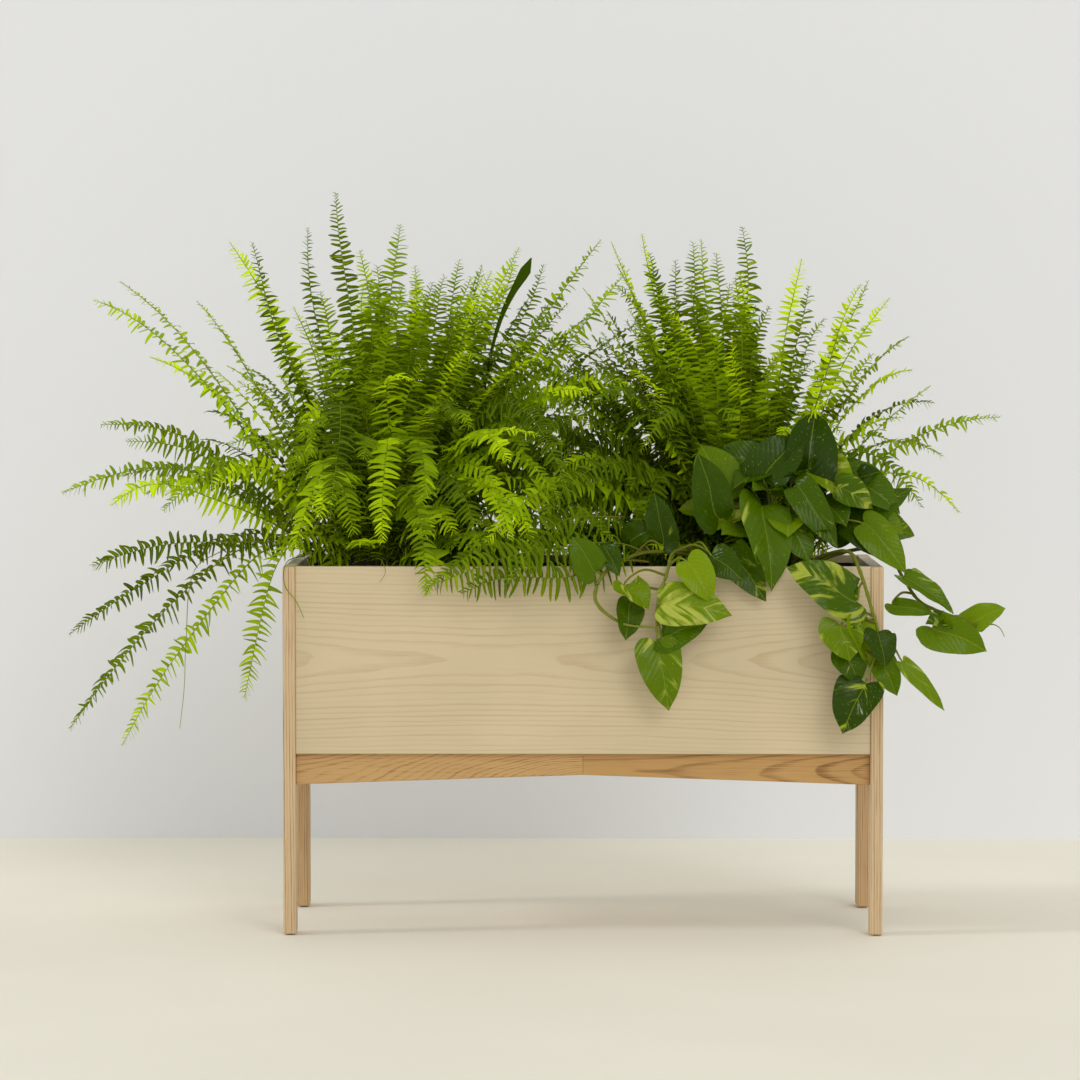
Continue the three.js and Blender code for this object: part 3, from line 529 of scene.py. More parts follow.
def in_woodwork(points):
    """Whether a point lies in the woodwork or the liner, rather than in the well over the soil."""
    x, y, z = np.abs(points[..., 0]), np.abs(points[..., 1]), points[..., 2]
    block = (x < HALF_WIDTH + PLANT_CLEARANCE) & (y < HALF_DEPTH + PLANT_CLEARANCE)
    block &= z < RIM + PLANT_CLEARANCE
    margin = LINER_WALL + PLANT_CLEARANCE
    well = (x < LINER_HIGH.x - margin) & (y < LINER_HIGH.y - margin) & (z > SOIL_HIGH.z)
    return block & ~well


def leaf_cells(shader, cells):
    """The column and row of the leaf map's cell, and the place across and along it."""
    u, v, _ = shader.separate(shader.get("UV", "UVMap", uv_map=LEAF_MAP))
    wide, tall = u * cells, v * cells
    return wide.floor(), tall.floor(), wide.fraction(), tall.fraction()


def leaf_surface(shader, color, glow, share, **finish):
    """A leaf's skin. A share of it lets light through, in its colour times glow."""
    skin = shader.principled(color, **finish)
    through = shader.get("BSDF", "BsdfTranslucent", {"Color": shader.mix(1.0, color, glow, "MULTIPLY")})
    return shader.finish(shader.mix_surfaces(share, skin, through))


# ---- ferns

# Each row is one frond that the eye picks out: how far its tip lies from the crown along X, how far
# outside the front or back of the woodwork, how high over the rim, and how far it arches over its
# chord. A frond bends halfway along, or where a fifth value says.
LEFT_FRONT_FRONDS = [
    (-0.435, -0.135, 0.408, 0.07), (-0.345, -0.1, 0.318, 0.06), (-0.2, -0.175, 0.492, 0.03),
    (-0.065, -0.165, 0.572, 0.025), (0.17, -0.205, 0.46, 0.015), (0.35, -0.2, 0.5, 0.04),
    (0.275, -0.225, 0.455, 0.03), (0.33, -0.06, 0.205, 0.15), (0.31, 0.005, 0.11, 0.19),
    (0.16, 0.01, 0.045, 0.13), (0.22, 0.02, 0.042, 0.12), (0.085, 0.055, -0.042, 0.145),
    (-0.18, -0.035, -0.205, 0.17, 0.8), (-0.385, -0.12, -0.29, 0.128, 0.42),
    (-0.43, -0.07, -0.01, 0.055, 0.3), (-0.49, -0.17, 0.105, 0.085), (-0.065, 0.055, 0.075, 0.21),
    (-0.39, -0.115, 0.125, 0.07), (0.02, 0.035, 0.04, 0.175), (-0.11, 0.04, 0.03, 0.15),
    (0.32, -0.15, 0.34, 0.06), (0.26, -0.06, 0.32, 0.07), (0.4, -0.13, 0.27, 0.11),
    (0.25, -0.06, 0.15, 0.12), (0.15, -0.02, 0.21, 0.11), (0.3, -0.09, 0.4, 0.045),
]
LEFT_BACK_FRONDS = [
    (-0.405, -0.14, 0.435, 0.055), (-0.29, -0.085, 0.405, 0.045), (-0.225, -0.12, 0.5, 0.035),
    (-0.125, -0.09, 0.52, 0.025), (0.035, -0.12, 0.525, 0.015), (0.07, -0.14, 0.425, 0.06),
    (0.13, -0.1, 0.47, 0.02), (0.22, -0.075, 0.465, 0.02), (0.395, -0.12, 0.455, 0.035),
    (0.415, -0.09, 0.37, 0.06), (-0.485, -0.16, -0.265, 0.12, 0.3), (-0.48, -0.12, -0.125, 0.09, 0.3),
    (-0.44, -0.1, 0.21, 0.065), (-0.34, -0.06, 0.095, 0.09), (0.06, 0.06, 0.12, 0.19),
    (-0.16, 0.07, 0.06, 0.18), (-0.02, 0.095, -0.03, 0.16), (0.19, 0.05, 0.06, 0.15),
    (0.33, -0.1, 0.38, 0.05), (0.15, -0.06, 0.38, 0.04), (0.38, -0.06, 0.25, 0.11),
    (-0.04, -0.06, 0.43, 0.03), (-0.24, -0.06, 0.3, 0.06),
]
RIGHT_FRONT_FRONDS = [
    (0.012, -0.178, 0.52, 0.01), (-0.005, -0.12, 0.44, 0.03), (0.19, -0.16, 0.43, 0.04),
    (0.405, -0.16, 0.225, 0.06), (-0.225, -0.06, 0.25, 0.11), (-0.3, -0.02, 0.07, 0.13),
    (-0.47, 0.04, -0.042, 0.105), (0.15, -0.09, 0.2, 0.09), (-0.12, -0.1, 0.34, 0.08),
    (-0.26, -0.13, 0.33, 0.07), (-0.17, -0.06, 0.3, 0.06), (0.06, -0.06, 0.33, 0.05),
    (-0.33, -0.05, 0.19, 0.11), (-0.39, 0.01, 0.04, 0.11),
]
RIGHT_BACK_FRONDS = [
    (0.105, -0.115, 0.47, 0.025), (0.215, -0.1, 0.435, 0.045), (0.245, -0.06, 0.41, 0.05),
    (0.27, -0.115, 0.35, 0.06), (0.28, -0.08, 0.3, 0.07), (0.31, -0.135, 0.245, 0.08),
    (-0.12, -0.14, 0.43, 0.02), (-0.065, -0.08, 0.425, 0.03), (-0.18, -0.1, 0.43, 0.055),
    (0.06, 0.06, 0.13, 0.17), (-0.11, 0.08, 0.09, 0.18), (0.21, 0.055, 0.06, 0.15),
    (-0.23, -0.08, 0.3, 0.09), (0.02, -0.06, 0.4, 0.03), (0.16, -0.06, 0.33, 0.05),
    (0.33, -0.06, 0.16, 0.09), (-0.15, -0.1, 0.36, 0.06), (-0.09, -0.06, 0.25, 0.08),
]
# Runners, thin as string, and how thick they are: one hangs off the left end, one over the corner of
# the rim, and one over the rim a little further on.
LEFT_RUNNERS = (
    (((-0.545, -0.15, 0.59), (-0.59, -0.175, 0.56), (-0.603, -0.19, 0.45), (-0.606, -0.19, 0.38),
      (-0.613, -0.19, 0.318)), 0.0007),
    (((-0.42, -0.12, 0.58), (-0.452, -0.181, 0.568), (-0.453, -0.184, 0.536), (-0.436, -0.184, 0.512),
      (-0.424, -0.184, 0.486)), 0.0009),
    (((-0.33, -0.12, 0.57), (-0.306, -0.18, 0.574), (-0.3, -0.184, 0.556),
      (-0.309, -0.184, 0.54)), 0.0006),
)
# Fronds of the right fern that lie over the front rim, towards the left: where each comes out of the
# leaves, its tip, how far it arches over its chord, and where it bends. They are turned to face out.
RIM_FRONDS = (
    ((0.09, -0.186, 0.588), (-0.233, -0.222, 0.519), 0.04, 0.35),
    ((0.1, -0.19, 0.572), (-0.185, -0.216, 0.526), 0.012, 0.45),
    ((0.06, -0.17, 0.64), (-0.12, -0.215, 0.548), 0.03, 0.45),
)
RIM_FROND_ROLL = -1.0
# One plain dark leaf stands up between the ferns: its route, its half width along it, and how it folds
STRAP_LEAF = ((-0.17, 0.03, 0.56), (-0.165, 0.035, 0.76), (-0.13, 0.035, 0.94), (-0.081, 0.03, 1.036))
STRAP_HALF_WIDTHS = ((0, 0.6, 0.82, 0.93, 1), (0.002, 0.003, 0.006, 0.01, 0.001))
STRAP_ROLL, STRAP_FOLD = 0.5, 0.4
# lean is the side of the planter's middle, front is how far the fill reaches forward, as a share, and
# outer is how many of it lean out over the planter's end
FERNS = {
    "left": {"crown": (-0.322, 0), "seed": 10, "lean": 1, "front": 1.0, "outer": 30,
             "rows": (LEFT_FRONT_FRONDS, LEFT_BACK_FRONDS), "runners": LEFT_RUNNERS, "rim": ()},
    "right": {"crown": (0.242, 0.039), "seed": 50, "lean": -1, "front": 0.4, "outer": 8,
              "rows": (RIGHT_FRONT_FRONDS, RIGHT_BACK_FRONDS), "runners": (), "rim": RIM_FRONDS},
}
# The fill, from upright young fronds to arching old ones: how many, how far their tips reach, how high
# over the rim and how much they arch, each from young to old, where their golden angle starts, how far
# they lean to the planter's middle, and their depth as a share of their reach
FILLS = (
    (14, (0.13, 0.33), (0.43, 0.06), (0.03, 0.12), 0.0, 0.0, 1.0),
    (54, (0.06, 0.31), (0.45, 0.08), (0.03, 0.11), 1.3, 0.08, 1.0),
    (44, (0.12, 0.33), (0.17, 0.0), (0.05, 0.11), 2.1, 0.11, 0.66),
    (52, (0.08, 0.37), (0.48, 0.22), (0.02, 0.07), 0.7, 0.1, 0.55),
    (40, (0.1, 0.31), (0.06, 0.01), (0.004, 0.03), 2.9, 0.1, 0.45),
)
OUTER_FILL = ((0.12, 0.36), (0.36, 0.06), (0.03, 0.08), 1.7, -0.08, 0.5)
# Towards the planter's ends the fill stays closer, so that the outer fronds stand apart
END_REACH = 0.9
# and no filling frond's tip reaches further out of the front or the back than this
FILL_OVERHANG = 0.06
HEIGHT_SPREAD = 0.3
CROWN_LENGTH, CROWN_BREADTH, CROWN_HEIGHT = 0.24, 0.15, 0.046
CROWN_TURNS, CROWN_LEVELS, CROWN_LUMPS = 36, 12, 0.1
ROOT_SPREAD, ROOT_LEVEL, FAR_FROND_REACH = 0.6, 0.4, 0.42
FROND_FACES_OUT, FROND_TILT, FROND_ROLL = 0.35, 0.45, 0.7
FROND_STEPS, FROND_WIDTH = 40, 0.052
FROND_SHAPE = ((0, 0.07, 0.2, 0.42, 0.65, 0.84, 0.95, 1), (0.5, 0.62, 0.92, 1, 0.97, 0.76, 0.5, 0.22))
STALK_RADII = ((0, 0.3, 1), (0.0016, 0.0012, 0.0004))
TIP_HOOK = ((0.72, 1), (0, 1))
BARE_STALK, BARE_TIP = 0.06, 0.002
LEAFLET_PITCH = ((0, 0.12, 0.4, 0.75, 0.95, 1), (0.014, 0.0125, 0.0105, 0.0095, 0.006, 0.0045))
LEAFLET_WIDTH, FULL_LEAFLET, LEAFLET_SCALES = 0.007, 0.02, (0.4, 1.1)
LEAFLET_SAG, LEAFLET_BOW = (0, 0, -0.8), 0.35
# Near its foot a frond carries thin, curling leaflets, and at its tip they lean forward: a leaflet's
# width, its curl and its lean by its place on the frond
LEAFLET_BREADTH = ((0, 0.12, 0.35, 0.6, 0.9, 1), (0.42, 0.5, 0.86, 1.0, 0.84, 0.5))
LEAFLET_CURL = ((0, 0.3, 0.5), (0.5, 0.25, 0.0))
LEAFLET_LEAN = ((0, 0.8, 1), (0, 0.06, 0.6))
# A leaflet's half width from its foot to its tip, as shares of its length and of the widest, for a
# pointed one and a blunt one
LEAFLET_PLACES = np.array([0, 0.08, 0.3, 0.55, 0.78, 0.93, 1])
POINTED_LEAFLET = np.array([0.55, 1.0, 0.88, 0.7, 0.46, 0.24, 0.05])
BLUNT_LEAFLET = np.array([0.55, 1.0, 0.96, 0.92, 0.8, 0.52, 0.14])
EAR, EAR_END = 1.35, 0.2
# No two are alike. These are the lowest and the highest of an even draw,
ARCH_DRAW, BEND_DRAW = (0.6, 1.5), (-0.1, 0.12)
SWAY_DRAW, WAVES_DRAW = (0.005, 0.016), (4, 7)
WIDTH_DRAW, BLUNT_DRAW = (0.95, 1.22), (0.1, 1)
LENGTH_DRAW, BREADTH_DRAW = (0.86, 1.12), (0.88, 1.12)
WEIGHT_DRAW, FOLD_DRAW = (0.1, 0.45), (0.12, 0.5)
# and these the mean and the spread of a normal one
TIP_DRAW, ROLL_DRAW, TIP_HOOK_DRAW = (0, 0.018), (0, 0.3), (0, 0.01)
LEAN_DRAW, RISE_DRAW, SLAT_DRAW = (0.06, 0.11), (0.2, 0.17), (0.48, 0.3)
HOOK_DRAW, CURL_DRAW, AGE_DRAW = (0.14, 0.16), (0, 0.7), (0, 0.05)
# Ages run from 0, young, to 1. A frond's is drawn from a beta curve, and its tip is younger.
AGE_CURVE, AGE_RANGE, YOUNGEST = (1.3, 1.1), 0.82, 0.15
YOUNG_TIP, YOUNG_TIP_START = 0.7, 0.75
FLOOR_GAP = 0.004
# The leaf map is a grid of cells. A fern leaflet takes the column of its age and a row of its own tint.
# The top row is kept for stalks.
CELLS = 16
TINTS = CELLS - 1
CELL_INSET = 0.08


def cell_corner(column, row):
    """Where a cell of the leaf map starts, and its size."""
    size = (1 - 2 * CELL_INSET) / CELLS
    return (column + CELL_INSET) / CELLS, (row + CELL_INSET) / CELLS, size, size


def frond_tips(fern):
    """For each frond its part of the plant, its tip, with X from the crown and Z from the rim, its arch,
    and where it bends."""
    for part, (side, rows) in enumerate(zip((-1, 1), fern["rows"])):
        for x, out, up, arch, *bend in rows:
            yield part, (x, side * (HALF_DEPTH + out), up), arch, bend[0] if bend else 0.5
    seed, lean = fern["seed"], fern["lean"]
    for count, reach, height, arch, turn, shift, depth in (*FILLS, (fern["outer"], *OUTER_FILL)):
        for i in range(count):
            age = (i + 0.5) / count
            angle = i * GOLDEN_ANGLE + seed + turn
            up = lerp(*height, age) * (1 + HEIGHT_SPREAD * (shuffle(seed + i + turn) - 0.5))
            far = lerp(*reach, age)
            x = math.cos(angle) * far
            if shift > 0 and x * lean < 0:
                x *= END_REACH
            y = math.sin(angle) * far * depth
            if y < 0:
                y *= fern["front"]
            yield 2, (x + shift * lean, y, up), lerp(*arch, age), 0.5


def frond_root(crown, tip):
    """Where a frond leaves the crown: on the side that it grows to."""
    size = np.array([CROWN_LENGTH, CROWN_BREADTH])
    off = np.clip((tip - crown)[:2] / FAR_FROND_REACH, -1, 1) * ROOT_SPREAD * size / 2
    return crown + np.array([*off, CROWN_HEIGHT * ROOT_LEVEL])


def grow_frond(growth, crown, root, tip, arch, bend_at, roll, random):
    """A stalk that arches from root to tip, with leaflets on both hands. Over the rim, roll is None."""
    bend = lerp(root, tip, bend_at) + np.array([0, 0, 2 * arch])
    chord = tip - root
    length = np.linalg.norm(chord)
    outwards = -1 if tip[1] < crown[1] else 1
    side = unit(np.cross([chord[0], chord[1] + outwards * FROND_FACES_OUT * length, 0], [0, 0, 1]))
    if roll is None:
        roll = RIM_FROND_ROLL
    else:
        roll -= outwards * FROND_TILT * chord[0] / length
    share = np.linspace(0, 1, FROND_STEPS + 1)
    t = share[:, None]
    line = (1 - t) ** 2 * root + 2 * t * (1 - t) * bend + t ** 2 * tip
    # A frond sways a little off its curve, and its tip may hook
    _, out, _ = frames_along(line, side, roll)
    wave = np.sin(share * math.pi) * np.sin(share * random.uniform(*WAVES_DRAW) + random.uniform(0, 6))
    hook = np.interp(share, *TIP_HOOK) ** 2 * random.normal(*TIP_HOOK_DRAW)
    line = line + out * (wave * random.uniform(*SWAY_DRAW) + hook)[:, None]
    frames = frames_along(line, side, roll)
    travelled = np.concatenate([[0], np.cumsum(np.linalg.norm(np.diff(line, axis=0), axis=1))])
    total = travelled[-1]
    age = random.beta(*AGE_CURVE) * AGE_RANGE + YOUNGEST
    spots, at = [], BARE_STALK * total + random.uniform(0, 0.01)
    while at < total - BARE_TIP:
        spots.append(at)
        at += np.interp(at / total, *LEAFLET_PITCH)
    spots = np.array(spots)
    width = FROND_WIDTH * random.uniform(*WIDTH_DRAW)
    blunt = random.uniform(*BLUNT_DRAW)
    # The leaflets of one hand stand half a pitch ahead of the other's
    ahead = spots + 0.5 * np.interp(spots / total, *LEAFLET_PITCH)
    for hand, places in ((-1, spots), (1, ahead)):
        places = places[places < total - BARE_TIP / 2]
        grow_leaflets(growth, places, travelled, line, frames, hand, width, blunt, age, random)
    growth.add_tube(line, np.interp(share, *STALK_RADII), cell_corner(int(age * TINTS), TINTS))


def grow_leaflets(growth, spots, travelled, line, frames, hand, width, blunt, age, random):
    """The leaflets of one hand, at the spots along the frond."""
    count = len(spots)
    foot = read_off(spots, travelled, line)
    along, out, up = (unit(read_off(spots, travelled, vectors)) for vectors in frames)
    share = spots / travelled[-1]
    length = width / 2 * np.interp(share, *FROND_SHAPE) * random.uniform(*LENGTH_DRAW, count)
    lean = np.interp(share, *LEAFLET_LEAN) + random.normal(*LEAN_DRAW, count)
    rise = random.normal(*RISE_DRAW, count)
    reach = unit(out * hand * np.cos(lean)[:, None] + along * np.sin(lean)[:, None]
                 + up * np.sin(rise)[:, None])
    # Each leaflet is turned about its own length like a slat of a blind
    ahead = unit(np.cross(np.cross(reach, along), reach))
    normal = unit(np.cross(ahead, reach))
    normal *= np.sign(np.sum(normal * up, axis=1))[:, None]
    ahead, normal = turned(ahead, normal, random.normal(*SLAT_DRAW, count))
    outline = lerp(POINTED_LEAFLET, BLUNT_LEAFLET, blunt)
    size = np.clip(length / FULL_LEAFLET, *LEAFLET_SCALES) * np.interp(share, *LEAFLET_BREADTH)
    size = (size * random.uniform(*BREADTH_DRAW, count) * LEAFLET_WIDTH / 2)[:, None] * outline
    # Leaflets hang under their own weight, and the thin ones near the foot curl
    curly = np.interp(share, *LEAFLET_CURL)
    weight = random.uniform(*WEIGHT_DRAW, count) + curly * random.uniform(0, 1, count)
    droop = weight[:, None] * (LEAFLET_SAG - normal * LEAFLET_BOW)
    hook = random.normal(*HOOK_DRAW, count) + curly * random.normal(*CURL_DRAW, count)
    straight = reach[:, None] * (length[:, None] * LEAFLET_PLACES)[..., None]
    bent = (droop + ahead * hook[:, None])[:, None] * (length[:, None] * LEAFLET_PLACES ** 2)[..., None]
    middle = foot[:, None] + straight + bent
    fold = random.uniform(*FOLD_DRAW, count)[:, None]
    ear = np.where(LEAFLET_PLACES < EAR_END, EAR, 1.0)[:, None]
    edge_up = normal[:, None] * (size * np.sin(fold))[..., None]
    edge_out = ahead[:, None] * (size * np.cos(fold))[..., None]
    front = middle + edge_up + edge_out * ear
    back = middle + edge_up - edge_out
    sheets = np.stack([front, middle, back], axis=2)
    keep = ~in_woodwork(sheets).any(axis=(1, 2)) & (sheets[..., 2].min(axis=(1, 2)) > FLOOR_GAP)
    young = YOUNG_TIP * np.clip(share - YOUNG_TIP_START, 0, 1)
    column = np.clip(age + random.normal(*AGE_DRAW, count) - young, 0, 0.999) * CELLS
    row = random.integers(0, TINTS, count)
    x, y, across, tall = cell_corner(column.astype(int)[:, None, None], row[:, None, None])
    places = pairs(x + across * np.linspace(0, 1, 3), y + tall * LEAFLET_PLACES[:, None])
    growth.add_grid(sheets[keep], places[keep])


def grow_strap_leaf(growth):
    line = smooth_route(STRAP_LEAF, 10)
    side = unit(np.cross(line[-1] - line[-2], [0, -1, 0]))
    _, out, up = frames_along(line, side, STRAP_ROLL)
    half = np.interp(np.linspace(0, 1, len(line)), *STRAP_HALF_WIDTHS)[:, None]
    raised = line + up * half * STRAP_FOLD
    x, y, across, tall = cell_corner(CELLS - 1, 0)
    places = np.broadcast_to([[x, y], [x + across / 4, y], [x, y + tall / 4]], (1, len(line), 3, 2))
    growth.add_grid(np.stack([raised - out * half, line, raised + out * half], axis=1)[None], places)


def fern_material():
    shader = Shader("fern_leaf")
    column, row, across, along = leaf_cells(shader, CELLS)
    cell = shader.combine(column, row, 0.0)
    chance = shader.get("Value", "TexWhiteNoise", {"Vector": cell}, noise_dimensions="2D")
    shift = shader.spread(chance, 0, 1, -0.12, 0.12, smooth=False)
    age = shader.math("ADD", column / CELLS, shift, clamp=True)
    green = shader.ramp(age, [(0.0, (212, 240, 14)), (0.3, (156, 188, 5)),
                              (0.65, (98, 125, 2)), (1.0, (55, 77, 1))])
    midrib = shader.spread(abs(across - 0.5), 0.03, 0.1, 1, 0)
    green = shader.mix(midrib * 0.35, green, srgb(170, 186, 44))
    green = shader.mix(shader.spread(along, 0.75, 1.0, 0.0, 0.35), green, srgb(158, 182, 12))
    stem = shader.ramp(along, [(0.0, (96, 78, 30)), (0.25, (118, 126, 36)), (1.0, (146, 168, 40))])
    color = shader.mix(shader.math("GREATER_THAN", row, TINTS - 0.5), green, stem)
    return leaf_surface(shader, color, (1.6, 1.5, 0.3, 1), 0.28, roughness=0.48, specular=0.06)


def grow_crown(name, centre):
    """The knot of old stems and roots that a fern grows from."""
    random = np.random.default_rng(int(1000 * (centre[0] + 2)))
    around = np.linspace(0, 2 * math.pi, CROWN_TURNS, endpoint=False)
    climb = np.linspace(0, math.pi / 2, CROWN_LEVELS)[:, None]
    lumps = 1 + CROWN_LUMPS * random.standard_normal((CROWN_LEVELS, CROWN_TURNS))
    x = np.cos(climb) * np.cos(around) * CROWN_LENGTH / 2 * lumps
    y = np.cos(climb) * np.sin(around) * CROWN_BREADTH / 2 * lumps
    z = np.sin(climb) * CROWN_HEIGHT * 0.8 * np.clip(lumps, 0.9, 1.2)
    places = pairs(np.linspace(0, 1, CROWN_TURNS + 1), np.linspace(0, 1, CROWN_LEVELS)[:, None])
    growth = Growth()
    growth.add_grid((np.stack([x, y, z], axis=-1) + centre)[None], places[None])
    roots = earth("fern_roots_" + name, (30, 22, 14), (74, 58, 34))
    growth.piece(f"fern_{name}_crown", roots, "fern_leaf")


def grow_ferns():
    material = fern_material()
    for name, fern in FERNS.items():
        crown = np.array([*fern["crown"], SOIL_HIGH.z])
        random = np.random.default_rng(fern["seed"])
        parts = [Growth(), Growth(), Growth()]
        for number, (part, place, arch, bend_at) in enumerate(frond_tips(fern), fern["seed"]):
            tip = np.array(place) + [crown[0], 0, RIM]
            root = frond_root(crown, tip)
            roll = (shuffle(number) - 0.5) * FROND_ROLL
            # A frond of the fill strays from its place
            if part == 2:
                arch *= random.uniform(*ARCH_DRAW)
                bend_at += random.uniform(*BEND_DRAW)
                tip = tip + random.normal(*TIP_DRAW, 3)
                tip[1] = np.clip(tip[1], -HALF_DEPTH - FILL_OVERHANG, HALF_DEPTH + FILL_OVERHANG)
                roll += random.normal(*ROLL_DRAW)
            grow_frond(parts[part], crown, root, tip, arch, bend_at, roll, random)
        for root, tip, arch, bend_at in fern["rim"]:
            grow_frond(parts[0], crown, np.array(root), np.array(tip), arch, bend_at, None, random)
        for route, radius in fern["runners"]:
            line = smooth_route(route, 8)
            parts[0].add_tube(line, np.linspace(radius, radius * 0.6, len(line)), cell_corner(0, TINTS), 4)
        if name == "left":
            grow_strap_leaf(parts[1])
        for growth, where in zip(parts, ("front", "back", "heart")):
            growth.piece(f"fern_{name}_{where}_fronds", material, "fern_leaf", "fern_" + name)
        grow_crown(name, crown)


# ---- pothos

# Points are measured from the front's upper right corner: to the right, out from the front, and up
# from the rim. Each leaf is the name of its vine, how far along it its stalk starts, the leaf's foot
# and tip, and its width.
VINE_ROOT = (-0.15, -0.085, -0.025)
VINES = {
    "left": [
        (-0.27, -0.06, 0.016), (-0.318, -0.01, 0.022), (-0.33, 0.028, -0.008), (-0.345, 0.04, -0.06),
        (-0.345, 0.036, -0.108)],
    "loop": [
        (-0.29, -0.055, 0.014), (-0.37, -0.008, 0.02), (-0.428, 0.034, -0.012), (-0.438, 0.042, -0.048),
        (-0.4, 0.042, -0.082), (-0.348, 0.038, -0.09)],
    "right": [
        (-0.09, -0.05, 0.014), (-0.052, -0.008, 0.022), (-0.038, 0.03, -0.006), (-0.022, 0.038, -0.058),
        (-0.01, 0.038, -0.108), (-0.028, 0.038, -0.168)],
    "side": [
        (-0.06, -0.07, 0.018), (0.006, -0.06, 0.022), (0.034, -0.04, -0.022), (0.058, -0.025, -0.055),
        (0.11, -0.02, -0.078), (0.15, -0.01, -0.098)],
}
LEAVES = [
    ("left", 1, (-0.345, 0.038, -0.112), (-0.327, 0.044, -0.216), 0.066),
    ("left", 0.8, (-0.338, 0.044, -0.054), (-0.232, 0.05, -0.07), 0.062),
    ("left", 0.88, (-0.338, 0.036, -0.104), (-0.268, 0.032, -0.084), 0.046),
    ("left", 0.55, (-0.3, 0.034, 0.01), (-0.262, 0.052, -0.052), 0.052),
    ("left", 0.3, (-0.262, 0.02, 0.018), (-0.216, 0.044, -0.018), 0.046),
    ("left", 0.62, (-0.395, 0.034, -0.026), (-0.356, 0.046, -0.062), 0.046),
    ("left", 0.7, (-0.385, 0.03, -0.052), (-0.392, 0.036, -0.11), 0.042),
    ("loop", 0.5, (-0.438, 0.034, -0.006), (-0.474, 0.046, 0.048), 0.048),
    ("loop", 0.42, (-0.425, 0.02, 0.034), (-0.402, 0.046, -0.012), 0.034),
    ("loop", 0.3, (-0.385, -0.03, 0.036), (-0.35, -0.018, 0.056), 0.044),
    ("loop", 0.36, (-0.335, -0.03, 0.032), (-0.348, -0.02, 0.112), 0.046),
    ("left", 0.4, (-0.262, 0.01, 0.016), (-0.304, 0.024, -0.008), 0.022),
    ("right", 0, (-0.183, -0.045, 0.09), (-0.168, 0.014, -0.035), 0.08),
    ("right", 0, (-0.232, -0.012, 0.024), (-0.18, 0.018, -0.052), 0.054),
    ("right", 0, (-0.25, -0.04, 0.072), (-0.282, -0.02, 0.172), 0.062),
    ("right", 0, (-0.236, -0.08, 0.096), (-0.276, -0.1, 0.184), 0.072),
    ("right", 0, (-0.18, -0.06, 0.132), (-0.122, -0.08, 0.196), 0.07),
    ("right", 0, (-0.116, -0.07, 0.128), (-0.098, -0.11, 0.236), 0.078),
    ("right", 0, (-0.132, -0.03, 0.122), (-0.07, 0, 0.028), 0.048),
    ("right", 0, (-0.148, -0.04, 0.074), (-0.112, -0.01, 0.006), 0.056),
    ("right", 0.55, (-0.044, 0.034, -0.05), (-0.15, 0.036, 0.004), 0.066),
    ("right", 0, (-0.068, -0.05, 0.118), (-0.014, -0.04, 0.088), 0.046),
    ("right", 0, (-0.046, -0.08, 0.132), (0.03, -0.06, 0.08), 0.054),
    ("right", 0, (-0.03, -0.06, 0.066), (0.05, -0.09, 0.118), 0.046),
    ("right", 0, (-0.028, -0.04, 0.064), (0.036, -0.02, -0.01), 0.054),
    ("right", 0, (-0.054, -0.06, 0.07), (0.016, -0.02, 0.008), 0.054),
    ("right", 0.75, (-0.068, 0.042, -0.086), (-0.054, 0.048, -0.14), 0.06),
    ("right", 0.72, (-0.046, 0.034, -0.076), (-0.022, 0.034, -0.152), 0.048),
    ("right", 0.8, (-0.012, 0.042, -0.096), (0, 0.052, -0.15), 0.048),
    ("right", 0.9, (-0.06, 0.034, -0.128), (-0.04, 0.036, -0.176), 0.046),
    ("right", 0.92, (-0.008, 0.03, -0.138), (0.018, 0.036, -0.194), 0.042),
    ("right", 1, (-0.03, 0.042, -0.174), (-0.066, 0.05, -0.25), 0.068),
    ("right", 0.85, (0.026, 0.044, -0.142), (0.09, 0.04, -0.216), 0.024),
    ("side", 0.55, (0.032, -0.02, -0.016), (0.108, -0.006, -0.07), 0.036),
    ("side", 0.6, (0.014, -0.014, -0.058), (0.078, -0.006, -0.072), 0.026),
    ("side", 1, (0.074, 0.006, -0.092), (0.156, 0.014, -0.128), 0.056),
    ("side", 0.9, (0.096, 0.006, -0.082), (0.062, 0.02, -0.084), 0.034),
    ("side", 1, (0.128, -0.02, -0.092), (0.186, -0.01, -0.062), 0.042),
    ("right", 0, (-0.13, -0.14, 0.06), (-0.21, -0.19, 0.13), 0.06),
    ("right", 0, (-0.08, -0.15, 0.04), (-0.02, -0.21, 0.1), 0.06),
]
CROWN = (0.307, -0.093)
VINE_STEPS, VINE_KNOTS = 14, 9
VINE_RADII = ((0, 0.7, 1), (0.003, 0.00255, 0.0015))
KNOT_SWELL, KNOT_WIDTH = 0.28, 0.07
PETIOLE_RADII = (0.002375, 0.00152)
# The outline of half a leaf from its notch to its tip: how far along the midrib each outline point
# joins it, how far along the leaf the point lies, and how far out, as shares of the leaf's length
# and of its full width.
LEAF_OUTLINE = (
    (0, 0, 0), (0.04, -0.055, 0.12), (0.1, -0.08, 0.28), (0.18, -0.03, 0.42), (0.3, 0.12, 0.505),
    (0.45, 0.3, 0.51), (0.6, 0.49, 0.46), (0.75, 0.68, 0.35), (0.87, 0.835, 0.205), (0.94, 0.925, 0.085),
    (1, 1, 0))
LEAF_BREADTH = 1.12
LEAF_ROWS, LEAF_COLUMNS, LEAF_STEPS = 28, 13, 12
LEAF_FACES_UP = 0.45
LEAF_NOD = 0.5
LEAF_ROLL = 0.8
PETIOLE_HALFWAY = 0.55
PETIOLE_LIFT = 0.25
BLADE_BULGE = np.array([0, -0.1, 0.08])
